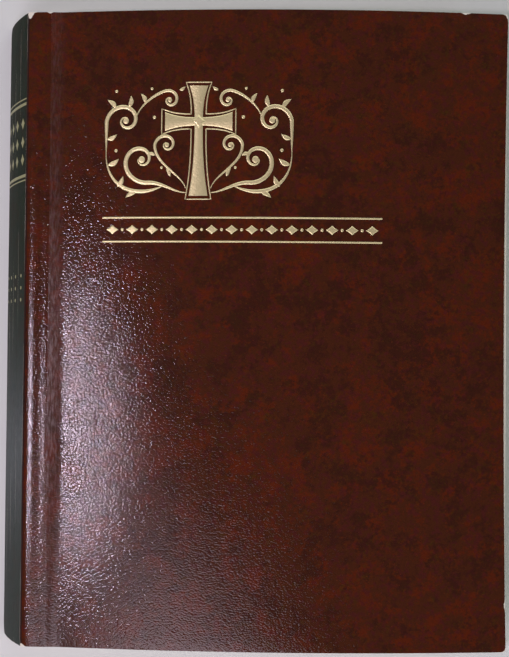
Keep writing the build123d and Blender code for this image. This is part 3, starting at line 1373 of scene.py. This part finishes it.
@dataclass
class PageBlock:
    """Sixteen folded sections of thin leaves, bowed and leaning, cut flush at the edges."""

    count: int = 16
    rows: int = 36
    panel_columns: int = 40
    flat_steps: tuple[float, ...] = (0.0, 0.35, 0.7)
    rings: int = 9
    leaves: int = 22
    set_back: float = 0.02
    uneven: float = 0.2
    ragged: float = 0.13
    seed: int = 7

    def columns(self) -> int:
        """Return how many columns a face has: those on the flat, then the panel's."""
        return len(self.flat_steps) + self.panel_columns

    def level(self, low: float, high: float, share: float) -> Array:
        """Return the points of one level through a section, row by row.

        The first column is the fold, a half circle of share; two columns lie on the flat;
        the rest run from the crease to the fore edge, raised by a parabola of the level's
        own bow. Long waves of x and y, the same at every level but growing with height,
        keep the pages from lying perfectly even.

        Args:
            low: height of the section's bottom at the spine.
            high: height of its top.
            share: 0 at the bottom, 1 at the top.

        Returns:
            The points.
        """
        z = low + share * (high - low)
        radius = (high - low) / 2
        start = BOOK.spine_x((low + high) / 2) + self.fold_depth()
        fold = start + radius * (1 - math.sqrt(max(0.0, 1 - (2 * share - 1) ** 2)))
        crease = BOOK.spine_x(z) + BOOK.crease_distance
        edge = BOOK.spine_x(z) + BOOK.page_reach
        flat = fold + np.array(self.flat_steps) * (crease - fold)
        run = fine_ends(0, 1, self.panel_columns, crowd=1.3)
        x = np.concatenate([flat, crease + run * (edge - crease)])
        reach = BOOK.half_height - self.set_back
        y = fine_ends(-reach, reach, self.rows, crowd=1.6)[:, None]
        panel = np.concatenate([np.zeros(len(flat)), run])
        waves = np.sin(y / 27 + panel * 3) + np.sin(y / 13 - panel * 6)
        uneven = self.uneven * panel * (1 - panel) * waves
        height = z + BOOK.growth(z) * (BOOK.swell(panel * BOOK.panel_reach) + uneven)
        return grid(x, y, height).reshape(-1, 3)

    def at_spine(self, number: int) -> tuple[float, float]:
        """Return a section's bottom and top at the spine: its box's top less the bow there.

        Args:
            number: the section's number.

        Returns:
            Both heights.
        """
        low, high = box_mm(f"section_{number:02d}")
        growth = BOOK.bow / (BOOK.pages_high - BOOK.pages_low)
        return low[2], (high[2] + growth * BOOK.pages_low) / (1 + growth)

    def fold_depth(self) -> float:
        """Return how far the folds lie inside the spine's outer face, by the middle section."""
        middle = self.count // 2
        return box_mm(f"section_{middle:02d}")[0][0] - BOOK.spine_x(sum(self.at_spine(middle)) / 2)

    def ragged_rings(self, number: int, levels: Sequence[Array], border: Array) -> list[Array]:
        """Return the rings of the cut edges, with clumps of leaves.

        Every second ring stands back by a small random depth at head, tail and fore edge.

        Args:
            number: the section's number, which seeds its chance.
            levels: the points of each level.
            border: numbers of the border's points in a level.

        Returns:
            The points of each ring.
        """
        chance = np.random.default_rng(self.seed + number)
        bottom = levels[0]
        at_end = np.abs(bottom[border, 1]) > BOOK.half_height - 0.1
        at_fore = np.abs(bottom[border, 0] - bottom[:, 0].max()) < 0.01
        offset = chance.uniform(0.0, self.ragged, 3)
        rings = []
        for ring, level in enumerate(levels):
            points = level[border]
            depth = chance.uniform(0.3, 1.0) * self.ragged * (ring % 2) + self.set_back
            points[:, 1] -= np.sign(points[:, 1]) * at_end * (depth + offset[0])
            points[:, 0] -= at_fore * (depth * 1.2 + offset[1] * 1.4)
            rings.append(points)
        return rings

    def walls(self, number: int, points: Array, numbers: Sequence[Array]) -> tuple[list[Array], list[Array]]:
        """Return the quads between the rings and their UV.

        The UV's first value runs along the border in millimetres and the second counts leaves.

        Args:
            number: the section's number, where its count of leaves starts.
            points: all the section's points.
            numbers: the vertex numbers of each ring.

        Returns:
            The quads and the UV of each wall.
        """
        sideways = np.array([1, 1, 0])
        centre = points.mean(0) * sideways
        edge = points[numbers[0]]
        steps = np.linalg.norm(np.diff(edge, axis=0, append=edge[:1]), axis=1)
        along = np.concatenate([[0], np.cumsum(steps)])
        leaf = (number + np.linspace(0, 1, self.rings)) * self.leaves
        quads, charts = [], []
        for index in range(self.rings - 1):
            ring = ring_faces(numbers[index], numbers[index + 1])
            turned = facing(points, ring, (points[ring].mean(1) - centre) * sideways)
            chart = np.empty((len(ring), 4, 2))
            chart[:, (0, 3), 0], chart[:, (1, 2), 0] = along[:-1, None], along[1:, None]
            chart[:, (0, 1), 1], chart[:, (2, 3), 1] = leaf[index], leaf[index + 1]
            quads.append(turned)
            charts.append(chart[:, ::-1] if (turned[0] != ring[0]).any() else chart)
        return quads, charts

    def section(self, number: int) -> Piece:
        """Build one section: two faces, above and below, and walls that follow the border.

        Args:
            number: 1 nearest the front cover to 16.

        Returns:
            The piece.
        """
        low, high = self.at_spine(number)
        rows, columns = self.rows, self.columns()
        count, border = rows * columns, perimeter(rows, columns)
        levels = [self.level(low, high, share) for share in np.linspace(0, 1, self.rings)]
        rings = self.ragged_rings(number, levels, border)
        bottom, top = levels[0], levels[-1]
        bottom[border], top[border] = rings[0], rings[-1]
        points = np.vstack([bottom, top, *rings[1:-1]])
        between = 2 * count + np.arange((self.rings - 2) * len(border)).reshape(-1, len(border))
        quads, charts = self.walls(number, points, [border, *between, border + count])
        up = np.array([[0.0, 0.0, 1.0]])
        above = facing(points, grid_faces(rows, columns, first=count), up)
        below = facing(points, grid_faces(rows, columns), -up)
        flat = np.vstack([above, below])
        plan = points[:, :2] - np.array([BOOK.spine_x((low + high) / 2), -BOOK.half_height])
        faces = np.vstack([flat, *quads])
        slots = np.repeat([1, 2, 0], [len(above), len(below), len(faces) - len(flat)])
        papers = (Finishes.blank if number == last else Finishes.printed for last in (1, self.count))
        node = f"section_{number:02d}"
        uv = np.vstack([plan[flat], *charts])
        piece = new_piece(f"{node}_leaves", points, faces, (Finishes.edge, *papers), slots, uv=uv)
        # The walls are shaded flat, so that cut edges stay crisp.
        piece.data.polygons.foreach_set("use_smooth", slots != 0)
        return stand_for(piece, node)


# ---- gilt stamping


def place(across: Array, down: Array) -> Array:
    """Return X and Y of points given from the spine edge and from the head."""
    return np.stack(np.broadcast_arrays(BOOK.spine_edge + across, BOOK.half_height - down), axis=-1)


def turned(points: Array, degrees: float) -> Array:
    """Return points turned anticlockwise about the origin."""
    angle = math.radians(degrees)
    return points @ np.array([[math.cos(angle), math.sin(angle)], [-math.sin(angle), math.cos(angle)]])


def bezier(points: Sequence[tuple[float, float]], count: int) -> Array:
    """Return a cubic curve: four points, weighted by the four terms of (1 - t + t) cubed.

    Args:
        points: the start, two points that pull the curve, and the end.
        count: number of points.

    Returns:
        The curve's points.
    """
    t = np.linspace(0, 1, count)[:, None]
    weights = (1 - t) ** 3, 3 * t * (1 - t) ** 2, 3 * t**2 * (1 - t), t**3
    return sum(weight * np.array(point, float) for weight, point in zip(weights, points))


def volute(
    centre: tuple[float, float], start: float, first: float, last: float, turns: float, count: int
) -> Array:
    """Return a scroll: radius falls from first to last by a constant ratio as it turns.

    Args:
        centre: the eye of the scroll.
        start: starting angle in degrees.
        first: starting radius.
        last: final radius.
        turns: number of turns, negative for clockwise.
        count: number of points.

    Returns:
        The points.
    """
    t = np.linspace(0, 1, count)
    radius = first * (last / first) ** t
    angle = math.radians(start) + 2 * np.pi * turns * t
    return np.array(centre) + np.stack([radius * np.cos(angle), radius * np.sin(angle)], axis=1)


def swelling(count: int, thin: float, thick: float, peak: float = 0.35) -> Array:
    """Return widths that swell from thin to thick and shrink back, each way a power of a sine.

    Args:
        count: number of widths.
        thin: width at both ends.
        thick: width at the peak.
        peak: share of the way to the peak.

    Returns:
        The widths.
    """
    t = np.linspace(0, 1, count)
    rise = np.where(t < peak, t / peak, (1 - t) / (1 - peak))
    return thin + (thick - thin) * np.sin(np.pi / 2 * rise) ** 1.3


def disc(radius: float, count: int = 20) -> Array:
    """Return the outline of a round dot about the origin."""
    angle = np.linspace(0, 2 * np.pi, count, endpoint=False)
    return radius * np.stack([np.cos(angle), np.sin(angle)], axis=1)


def lozenge(width: float, height: float, steps: int = 4) -> Array:
    """Return a diamond about the origin with hollow sides, each side a shallow parabola.

    Args:
        width: from side to side.
        height: from tip to tip.
        steps: points along each side.

    Returns:
        The outline.
    """
    corners = np.array([[width / 2, 0], [0, height / 2], [-width / 2, 0], [0, -height / 2]])
    share = np.linspace(0, 1, steps, endpoint=False)[None, :, None]
    sides = corners[:, None] * (1 - share) + np.roll(corners, -1, axis=0)[:, None] * share
    return (sides * (1 - 0.35 * share * (1 - share))).reshape(-1, 2)


def almond(length: float, width: float, angle: float, count: int = 24) -> Array:
    """Return a leaf's outline from its root, its width a skewed half sine, a little bent.

    Args:
        length: from root to tip.
        width: its greatest width.
        angle: its direction in degrees.
        count: number of points.

    Returns:
        The outline.
    """
    t = np.linspace(0, 1, count // 2 + 1)
    half = width / 2 * np.sin(np.pi * t**0.8)
    bend = 0.10 * length * np.sin(np.pi * t)
    upper = np.stack([t * length, bend + half], axis=1)
    lower = np.stack([t * length, bend - half], axis=1)[-2:0:-1]
    return turned(np.vstack([upper, lower]), angle)


def outward(points: Array, faces: Array) -> Array:
    """Return a closed mesh's quads facing outward, turned over if its volume is negative.

    Args:
        points: the mesh's vertices.
        faces: its quads, all wound the same way.

    Returns:
        The quads.
    """
    first, second, third, fourth = (points[faces[:, index]] for index in range(4))
    volume = (first * np.cross(second, third)).sum() + (first * np.cross(third, fourth)).sum()
    return faces if volume > 0 else faces[:, ::-1]


def on_cover(flat: Array, lift: float) -> Array:
    """Return points of the front cover's face, raised by lift, from X and Y."""
    x, y = flat[:, 0], flat[:, 1]
    return np.stack([x, y, BOOK.cover_top(x, y) + lift], axis=1)


def on_spine(flat: Array, lift: float) -> Array:
    """Return points of the spine's face, raised by lift, from Y and Z."""
    y, z = flat[:, 0], flat[:, 1]
    return np.stack([BOOK.spine_x(z) + SpineWrap.ripple - lift, y, z], axis=1)


@dataclass
class Stamp:
    """Makes raised gilt shapes, each in a narrow pressed margin of darker leather, partly painted shade,
    that follow a surface.

    The surface is a function of two flat coordinates, X and Y on the cover or Y and Z on the
    spine, and of a lift. A shape is its vertices, its quads and the slot of each quad: 0 for
    gilt, 1 for the margin.
    """

    surface: Callable[[Array, float], Array]
    proud: float = 0.19
    sunk: float = 0.05
    bevel: float = 0.34
    margin: float = 0.3
    margin_lift: float = 0.02
    shoulder: float = 0.55
    shoulder_lift: float = 0.8
    inset_limit: float = 0.6
    rings: tuple[float, ...] = (0.12, 0.45, 0.75)

    def stroke(self, path: Array, width: Array | float) -> Shape:
        """Return one line.

        A cross-section of eight points, margin, foot, shoulder and top on each side, is
        carried along the path at right angles to it and scaled by the width.

        Args:
            path: the line's points.
            width: its width, or the width at each point.

        Returns:
            The shape.
        """
        ahead = np.gradient(path, axis=0)
        ahead /= np.linalg.norm(ahead, axis=1, keepdims=True) + 1e-9
        side = np.stack([-ahead[:, 1], ahead[:, 0]], axis=1)
        count = len(path)
        half = np.broadcast_to(width, count) / 2
        inset = np.minimum(self.bevel, half * self.inset_limit)
        outer = np.stack([half + self.margin, half, half - inset * self.shoulder, half - inset], axis=1)
        offsets = np.hstack([-outer, outer[:, ::-1]])
        lifts = -self.sunk, self.margin_lift, self.proud * self.shoulder_lift, self.proud
        layers = [
            self.surface(path + side * offset[:, None], lift)
            for offset, lift in zip(offsets.T, lifts + lifts[::-1])
        ]
        wide = len(layers)
        caps = np.array([[0, 1, 6, 7], [1, 2, 5, 6], [2, 3, 4, 5]])
        quads = grid_faces(count, wide, wrap=True), caps, caps[:, ::-1] + (count - 1) * wide
        slots = np.tile([1, 0, 0, 0, 0, 0, 1, 1], count - 1), [1, 0, 0, 1, 0, 0]
        return np.stack(layers, axis=1).reshape(-1, 3), np.vstack(quads), np.concatenate(slots)

    def plate(self, centre: Array, around: Array) -> Shape:
        """Return a filled shape whose whole border can be seen from its centre.

        Rings lie at growing shares of the way from the centre to the border, then step
        down over a narrow bevel and a margin to a foot sunk in the card.

        Args:
            centre: the centre on the surface.
            around: the border from the centre, one row a point, without repeating the first.

        Returns:
            The shape; its middle is closed by quads across its smallest ring.
        """
        reach = np.linalg.norm(around, axis=1, keepdims=True)
        wide = np.maximum(reach, self.bevel * 2)
        edge, full = 1 - self.bevel / wide, np.ones_like(reach)
        shoulder = 1 - self.bevel * self.shoulder / wide
        shares = [(share * edge, self.proud) for share in self.rings]
        shares += [(edge, self.proud), (shoulder, self.proud * self.shoulder_lift)]
        shares += [(full, self.margin_lift), (1 + self.margin / wide, -self.sunk)]
        shares.append((self.rings[0] * full, -self.sunk))
        layers = [self.surface(centre + around * share, lift) for share, lift in shares]
        count, rows = len(around), len(layers)
        steps = np.arange(count // 2 - 1)
        cap = np.stack([steps, steps + 1, count - 2 - steps, count - 1 - steps], axis=1)
        quads = grid_faces(rows, count, wrap=True), cap, cap[:, ::-1] + (rows - 1) * count
        slots = np.repeat([0] * (rows - 3) + [1, 1], count), np.repeat([0, 1], len(cap))
        return np.vstack(layers), np.vstack(quads), np.concatenate(slots)


def gilt_piece(name: str, node: str, metal: Material, parts: Sequence[Shape], first: int) -> Piece:
    """Join stamped shapes into one piece that rides with a node, every quad facing outward.

    Args:
        name: the piece's name.
        node: the node that the shapes are stamped on.
        metal: the gilt.
        parts: the shapes.
        first: the first of the two axes that the UV takes, 0 for X and 1 for Y.

    Returns:
        The piece.
    """
    starts = np.cumsum([0] + [len(points) for points, _, _ in parts[:-1]])
    points = np.vstack([points for points, _, _ in parts])
    faces = [outward(own, quads) + start for (own, quads, _), start in zip(parts, starts)]
    slots = np.concatenate([slots for _, _, slots in parts])
    uv = points[:, first:first + 2]
    piece = new_piece(name, points, np.vstack(faces), (metal, Finishes.pressed_and_shaded), slots, uv=uv)
    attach(piece, body_of(node))
    return piece


@dataclass
class CoverStamping:
    """Gilt on the front cover: a cross between scrolls, and a row of lozenges in two rules."""

    centre: tuple[float, float] = (63.9, 41.4)
    arm_root: float = 1.5
    arm_end: float = 3.5
    arm_flare: float = 2.5
    arm_up: float = 13.2
    arm_side: float = 12.4
    arm_down: float = 27.4
    halo: float = 1.25
    halo_width: float = 0.46
    boss_side: float = 6.0
    rule_left: float = 28.6
    rule_right: float = 131.5
    rule_width: float = 0.62
    rule_downs: tuple[float, float] = (76.8, 85.6)
    lozenge_down: float = 81.2
    lozenge_count: int = 14
    lozenge_size: tuple[float, float] = (4.6, 3.4)
    dot_radius: float = 0.55
    stamp: Stamp = field(default_factory=lambda: Stamp(on_cover))
    boss: Stamp = field(default_factory=lambda: Stamp(on_cover, proud=0.56, bevel=1.7, margin=0.02))

    def origin(self) -> Array:
        """Return X and Y of the point where the cross's beams meet."""
        return place(*self.centre)

    def flare(self, share: Array) -> Array:
        """Return an arm's half width: its root plus a power of the share of the way out."""
        return self.arm_root + (self.arm_end - self.arm_root) * share**self.arm_flare

    def arm(self, length: float, turn: float, start: float) -> Shape:
        """Return one flared arm.

        Args:
            length: from the crossing to the end.
            turn: direction in degrees.
            start: how far from the crossing it begins.

        Returns:
            The shape.
        """
        reach = start + np.linspace(0, 1, 18) * (length - start)
        path = self.origin() + turned(np.stack([reach, 0 * reach], axis=1), turn)
        return self.stamp.stroke(path, 2 * self.flare(np.clip(reach, 0, None) / length))

    def contour(self) -> Array:
        """Return a closed line round the cross, outside it by the halo's distance.

        Each arm gives its right side outward, its end, and its left side inward, and the
        arms follow one another anticlockwise.

        Returns:
            The points, the last equal to the first.
        """
        share = np.linspace(0, 1, 10)
        root = self.arm_root + self.halo
        arms = (0, self.arm_side), (90, self.arm_up), (180, self.arm_side), (270, self.arm_down)
        sides = []
        for turn, length in arms:
            reach = root + share * (length + self.halo - root)
            half = self.flare(share) + self.halo
            right, left = np.stack([reach, -half], axis=1), np.stack([reach, half], axis=1)[::-1]
            across = np.linspace(-half[-1], half[-1], 7)[1:-1]
            end = np.stack([0 * across + reach[-1], across], axis=1)
            sides.append(turned(np.vstack([right, end, left[:-1]]), turn))
        points = np.vstack(sides)
        return self.origin() + np.vstack([points, points[:1]])

    def cross(self) -> Piece:
        """Build the cross, its halo line and a lozenge over the crossing.

        Returns:
            The piece.
        """
        start = self.arm_root * 0.9
        arms = (self.arm_up, 90), (self.arm_side, 0), (self.arm_side, 180)
        parts = [self.arm(self.arm_down, 270, -self.arm_root * 0.98)]
        parts += [self.arm(length, turn, start) for length, turn in arms]
        parts.append(self.stamp.stroke(self.contour(), self.halo_width))
        parts.append(self.boss.plate(self.origin(), lozenge(self.boss_side, self.boss_side)))
        return gilt_piece("gilt_cross", "front_cover", Finishes.gilt, parts, 0)

    def spray(self, mirror: Array) -> list[Shape]:
        """Return the scrolls, leaves and dots on one side of the cross.

        A stem frames the block and curls over at the top, a second fills the lower corner,
        and two small ones curl under and over the arm. Each is a cubic curve, and all but
        the second, which runs on into a short upright, end in a scroll whose radius shrinks
        by a constant ratio. A stem is the curve's four points, the scroll's centre, starting
        angle, radii and turns, and its greatest width. A leaf is its root, angle, length and
        width, and a dot its centre and radius. All are given from the crossing of the beams.

        Args:
            mirror: factors of X and Y, (1, 1) for the right side and (-1, 1) for the left.

        Returns:
            The shapes.
        """
        stems = (
            (((4.6, -26.2), (9, -26.2), (14, -21.8), (19.5, -22.6)), ((21, -14), -100, 8.7, 1.3, 1.3), 1.55),
            (((12.5, -23.4), (22, -28.6), (34.6, -25.5), (34.3, -11)), None, 1.35),
            (((34.3, -11.2), (34.2, -8), (34.3, -4), (34.2, 0.4)), ((27, 0.4), 0, 7.2, 1.1, 1.35), 1.45),
            (((4.6, -24.6), (6.4, -19), (16.2, -16), (16.2, -8.6)), ((11.7, -8.6), 0, 4.5, 0.9, 1.2), 1.1),
            (((23.3, 1.2), (22.2, 5.6), (17.4, 9.6), (12.7, 11.3)), ((10.7, 7.9), 60, 3.9, 0.8, 1.2), 1.05),
        )
        leaves = (
            (23.0, -26.0, -28, 4.4, 1.6), (30.0, -24.0, 118, 4.6, 1.7), (33.6, -16.0, 150, 4.8, 1.8),
            (34.0, -6.5, 152, 4.2, 1.6), (30.7, 5.1, 44, 4.6, 1.7), (25.8, 5.4, 98, 4.4, 1.7),
            (19.6, 6.9, 62, 4.0, 1.5), (10.4, -20.2, 62, 3.4, 1.3), (16.0, -12.4, 12, 3.2, 1.2),
            (7.2, 11.6, 148, 2.6, 1.1),
        )
        dots = (
            (21.0, -14.0, 1.25), (27.0, 0.4, 1.1), (11.7, -8.6, 0.85), (10.7, 7.9, 0.8),
            (30.6, -10.6, 0.6), (17.4, 12.2, 0.5), (16.4, 1.6, 0.6), (30.6, 11.4, 0.55), (13.6, -17.0, 0.5),
        )
        parts = []
        for lead, scroll, thick in stems:
            path, thin = bezier(lead, 22), 0.3
            if scroll:
                path, thin = np.vstack([path[:-1], volute(*scroll, 56)]), 0.34
            width = swelling(len(path), thin, thick)
            parts.append(self.stamp.stroke(self.origin() + path * mirror, width))
        for across, up, angle, length, width in leaves:
            leaf = almond(length, width, angle)
            middle = leaf.mean(0)
            centre = self.origin() + (np.array([across, up]) + middle) * mirror
            parts.append(self.stamp.plate(centre, (leaf - middle) * mirror))
        for across, up, radius in dots:
            centre = self.origin() + np.array([across, up]) * mirror
            parts.append(self.stamp.plate(centre, disc(radius) * mirror))
        return parts

    def scrolls(self) -> Piece:
        """Build the mirrored scrolls.

        Returns:
            The piece.
        """
        parts = [shape for side in (1, -1) for shape in self.spray(np.array([side, 1]))]
        return gilt_piece("gilt_scrolls", "front_cover", Finishes.gilt, parts, 0)

    def rules(self) -> Piece:
        """Build the two thin rules and the lozenges and dots between them.

        Returns:
            The piece.
        """
        across = np.linspace(self.rule_left, self.rule_right, 60)
        parts = [self.stamp.stroke(place(across, down), self.rule_width) for down in self.rule_downs]
        step = (self.rule_right - self.rule_left) / self.lozenge_count
        for index in range(self.lozenge_count):
            middle = self.rule_left + step * (index + 0.5)
            parts.append(self.stamp.plate(place(middle, self.lozenge_down), lozenge(*self.lozenge_size)))
            if index:
                dot = place(middle - step / 2, self.lozenge_down)
                parts.append(self.stamp.plate(dot, disc(self.dot_radius, 16)))
        return gilt_piece("gilt_rules", "front_cover", Finishes.gilt, parts, 0)


@dataclass
class SpineStamping:
    """Gilt across the spine, cut where the packets part: rules and small lozenges."""

    rules: tuple[tuple[float, float], ...] = ((32.0, 0.5), (33.9, 1.1), (60.8, 1.1), (62.5, 0.5))
    lozenge_downs: tuple[float, ...] = (41.0, 48.0, 54.6)
    lozenge_size: tuple[float, float] = (4.4, 3.6)
    dot_downs: tuple[float, ...] = (98.0, 102.5, 107.0)
    dot_radius: float = 0.7
    short: float = 0.12
    stamp: Stamp = field(
        default_factory=lambda: Stamp(on_spine, proud=0.06, bevel=0.1, margin=0.1, margin_lift=0.01)
    )

    def length(self, number: int) -> Piece:
        """Build the gilt on one length of the spine card.

        Args:
            number: which length, from 1 beside the front cover to 4.

        Returns:
            The piece.
        """
        low, high = BOOK.spine_levels[4 - number], BOOK.spine_levels[5 - number]
        z = np.linspace(low + self.short, high - self.short, 12)
        parts = []
        for down, width in self.rules:
            path = np.stack([0 * z + BOOK.half_height - down, z], axis=1)
            parts.append(self.stamp.stroke(path, width))
        diamond, dot = lozenge(*self.lozenge_size), disc(self.dot_radius, 16)
        for downs, shape in ((self.lozenge_downs, diamond), (self.dot_downs, dot)):
            for down in downs:
                centre = np.array([BOOK.half_height - down, (low + high) / 2])
                parts.append(self.stamp.plate(centre, shape))
        return gilt_piece(f"gilt_spine_{number}", f"spine_card_{number}", Finishes.dull_gilt, parts, 1)


# ---- kept parts


@dataclass
class GluedParts:
    """Adhesive and glued endleaf strips, whose shapes are kept from the frame."""

    adhesive: tuple[str, ...] = (*(f"spine_glue_{number}" for number in (1, 2, 3, 4)), "back_side_glue")
    strips: tuple[str, ...] = ("front_endleaf_strip", "back_endleaf_strip")

    def dress(self) -> None:
        """Give every kept node its finish."""
        for names, material in ((self.adhesive, Finishes.glue), (self.strips, Finishes.endpaper)):
            for name in names:
                mesh = frame["nodes"][name].data
                mesh.materials.clear()
                mesh.materials.append(material)


# ---- studio


@dataclass(frozen=True)
class Lamp:
    """A soft lamp: place and sides in millimetres, power in watts, linear colour."""

    name: str
    place: tuple[float, float, float]
    width: float
    length: float
    power: float
    colour: tuple[float, float, float]


@dataclass
class Studio:
    """Floor, lamps, world and camera."""

    lamps: tuple[Lamp, ...] = (
        Lamp("sheen_lamp", (-428.0, -74.0, 780.0), 50.0, 70.0, 2.15, (1.0, 0.82, 1.0)),
        Lamp("haze_lamp", (-180.0, -365.0, 780.0), 360.0, 240.0, 1.5, (1.0, 0.86, 1.0)),
        Lamp("head_fill", (100.0, 1050.0, 780.0), 2400.0, 800.0, 7.5, (0.97, 1.0, 0.97)),
        Lamp("tail_fill", (100.0, -1050.0, 780.0), 2400.0, 800.0, 7.5, (0.97, 1.0, 0.97)),
    )
    camera_place: tuple[float, float, float] = (12.1, -14.7, 586.1)
    camera_turn: tuple[float, float, float] = (1.56, 1.03, 0.51)
    lens: float = 82.6
    ceiling: float = 0.04
    walls: float = 0.95
    floor_half: float = 900.0
    floor_gap: float = 0.05

    def floor(self) -> None:
        """Lay a plain pale floor whose surface is just under the back cover."""
        side = np.linspace(-self.floor_half, self.floor_half, 3)
        points = grid(side, side[:, None], -self.floor_gap).reshape(-1, 3)
        finish = Finish("pale_floor")
        shade = finish.mix(finish.noise(finish.place, 6.0), linear(214, 218, 216), linear(224, 227, 225))
        finish.feed(finish.shader.inputs["Base Color"], shade)
        finish.feed(finish.shader.inputs["Roughness"], 0.7)
        floor = new_piece("floor", points, grid_faces(3, 3)[:, ::-1], (finish.material,))

    def lamp(self, lamp: Lamp) -> None:
        """Hang a rectangular area lamp that faces the book.

        Args:
            lamp: its name, place, size, power and colour.
        """
        data = bpy.data.lights.new(lamp.name, "AREA")
        data.shape = "RECTANGLE"
        data.size, data.size_y = lamp.width * MM, lamp.length * MM
        data.energy, data.color = lamp.power, lamp.colour
        hung = bpy.data.objects.new(lamp.name, data)
        bpy.context.scene.collection.objects.link(hung)
        hung.location = np.array(lamp.place) * MM
        hung.rotation_euler = Vector(lamp.place).to_track_quat("Z", "Y").to_euler()

    def world(self) -> None:
        """Close the room: pale walls low down, fading to a dim ceiling overhead."""
        world = bpy.data.worlds.new("room")
        world.use_nodes = True
        tree = Tree(world.node_tree)
        direction = tree.add("TexCoord").outputs["Generated"]
        height = tree.add("SeparateXYZ", None, i0=direction).outputs["Z"]
        strength = tree.times(tree.step(height, 0.08, 0.38), self.ceiling - self.walls, self.walls)
        background = world.node_tree.nodes["Background"]
        tree.feed(background.inputs["Color"], linear(240, 242, 242))
        tree.feed(background.inputs["Strength"], strength)
        bpy.context.scene.world = world

    def camera(self) -> None:
        """Hang the camera over the book, nearly plumb."""
        data = bpy.data.cameras.new("camera")
        data.sensor_fit = "VERTICAL"
        data.sensor_height = 36.0
        data.lens = self.lens
        data.clip_start, data.clip_end = 0.01, 50.0
        camera = bpy.data.objects.new("camera", data)
        bpy.context.scene.collection.objects.link(camera)
        camera.location = np.array(self.camera_place) * MM
        camera.rotation_euler = [math.radians(angle) for angle in self.camera_turn]
        bpy.context.scene.camera = camera

    def build(self) -> None:
        """Set up the whole room."""
        self.floor()
        for lamp in self.lamps:
            self.lamp(lamp)
        self.world()
        self.camera()
        bpy.context.scene.view_settings.view_transform = "Standard"


# ---- main


def main() -> None:
    """Build every piece in order, dress the kept parts, log each piece and set up the studio."""
    logging.basicConfig(level=logging.INFO, format="%(message)s")
    panels, wrap, leaves, block = CoverPanels(), SpineWrap(), Endleaves(), PageBlock()
    stamping, spine_stamping = CoverStamping(), SpineStamping()
    lengths = range(1, 5)
    pieces = [panels.front(), panels.back()]
    pieces += [wrap.strip(cover) for cover in Cover] + [wrap.glue()]
    pieces += [wrap.card(number) for number in lengths]
    pieces += [leaves.leaf(cover) for cover in Cover]
    pieces += [block.section(number) for number in range(1, block.count + 1)]
    pieces += [stamping.cross(), stamping.scrolls(), stamping.rules()]
    pieces += [spine_stamping.length(number) for number in lengths]
    GluedParts().dress()
    for piece in pieces:
        LOG.info("built %s, %d faces", piece.name, len(piece.data.polygons))
    Studio().build()


if __name__ == "__main__":
    main()
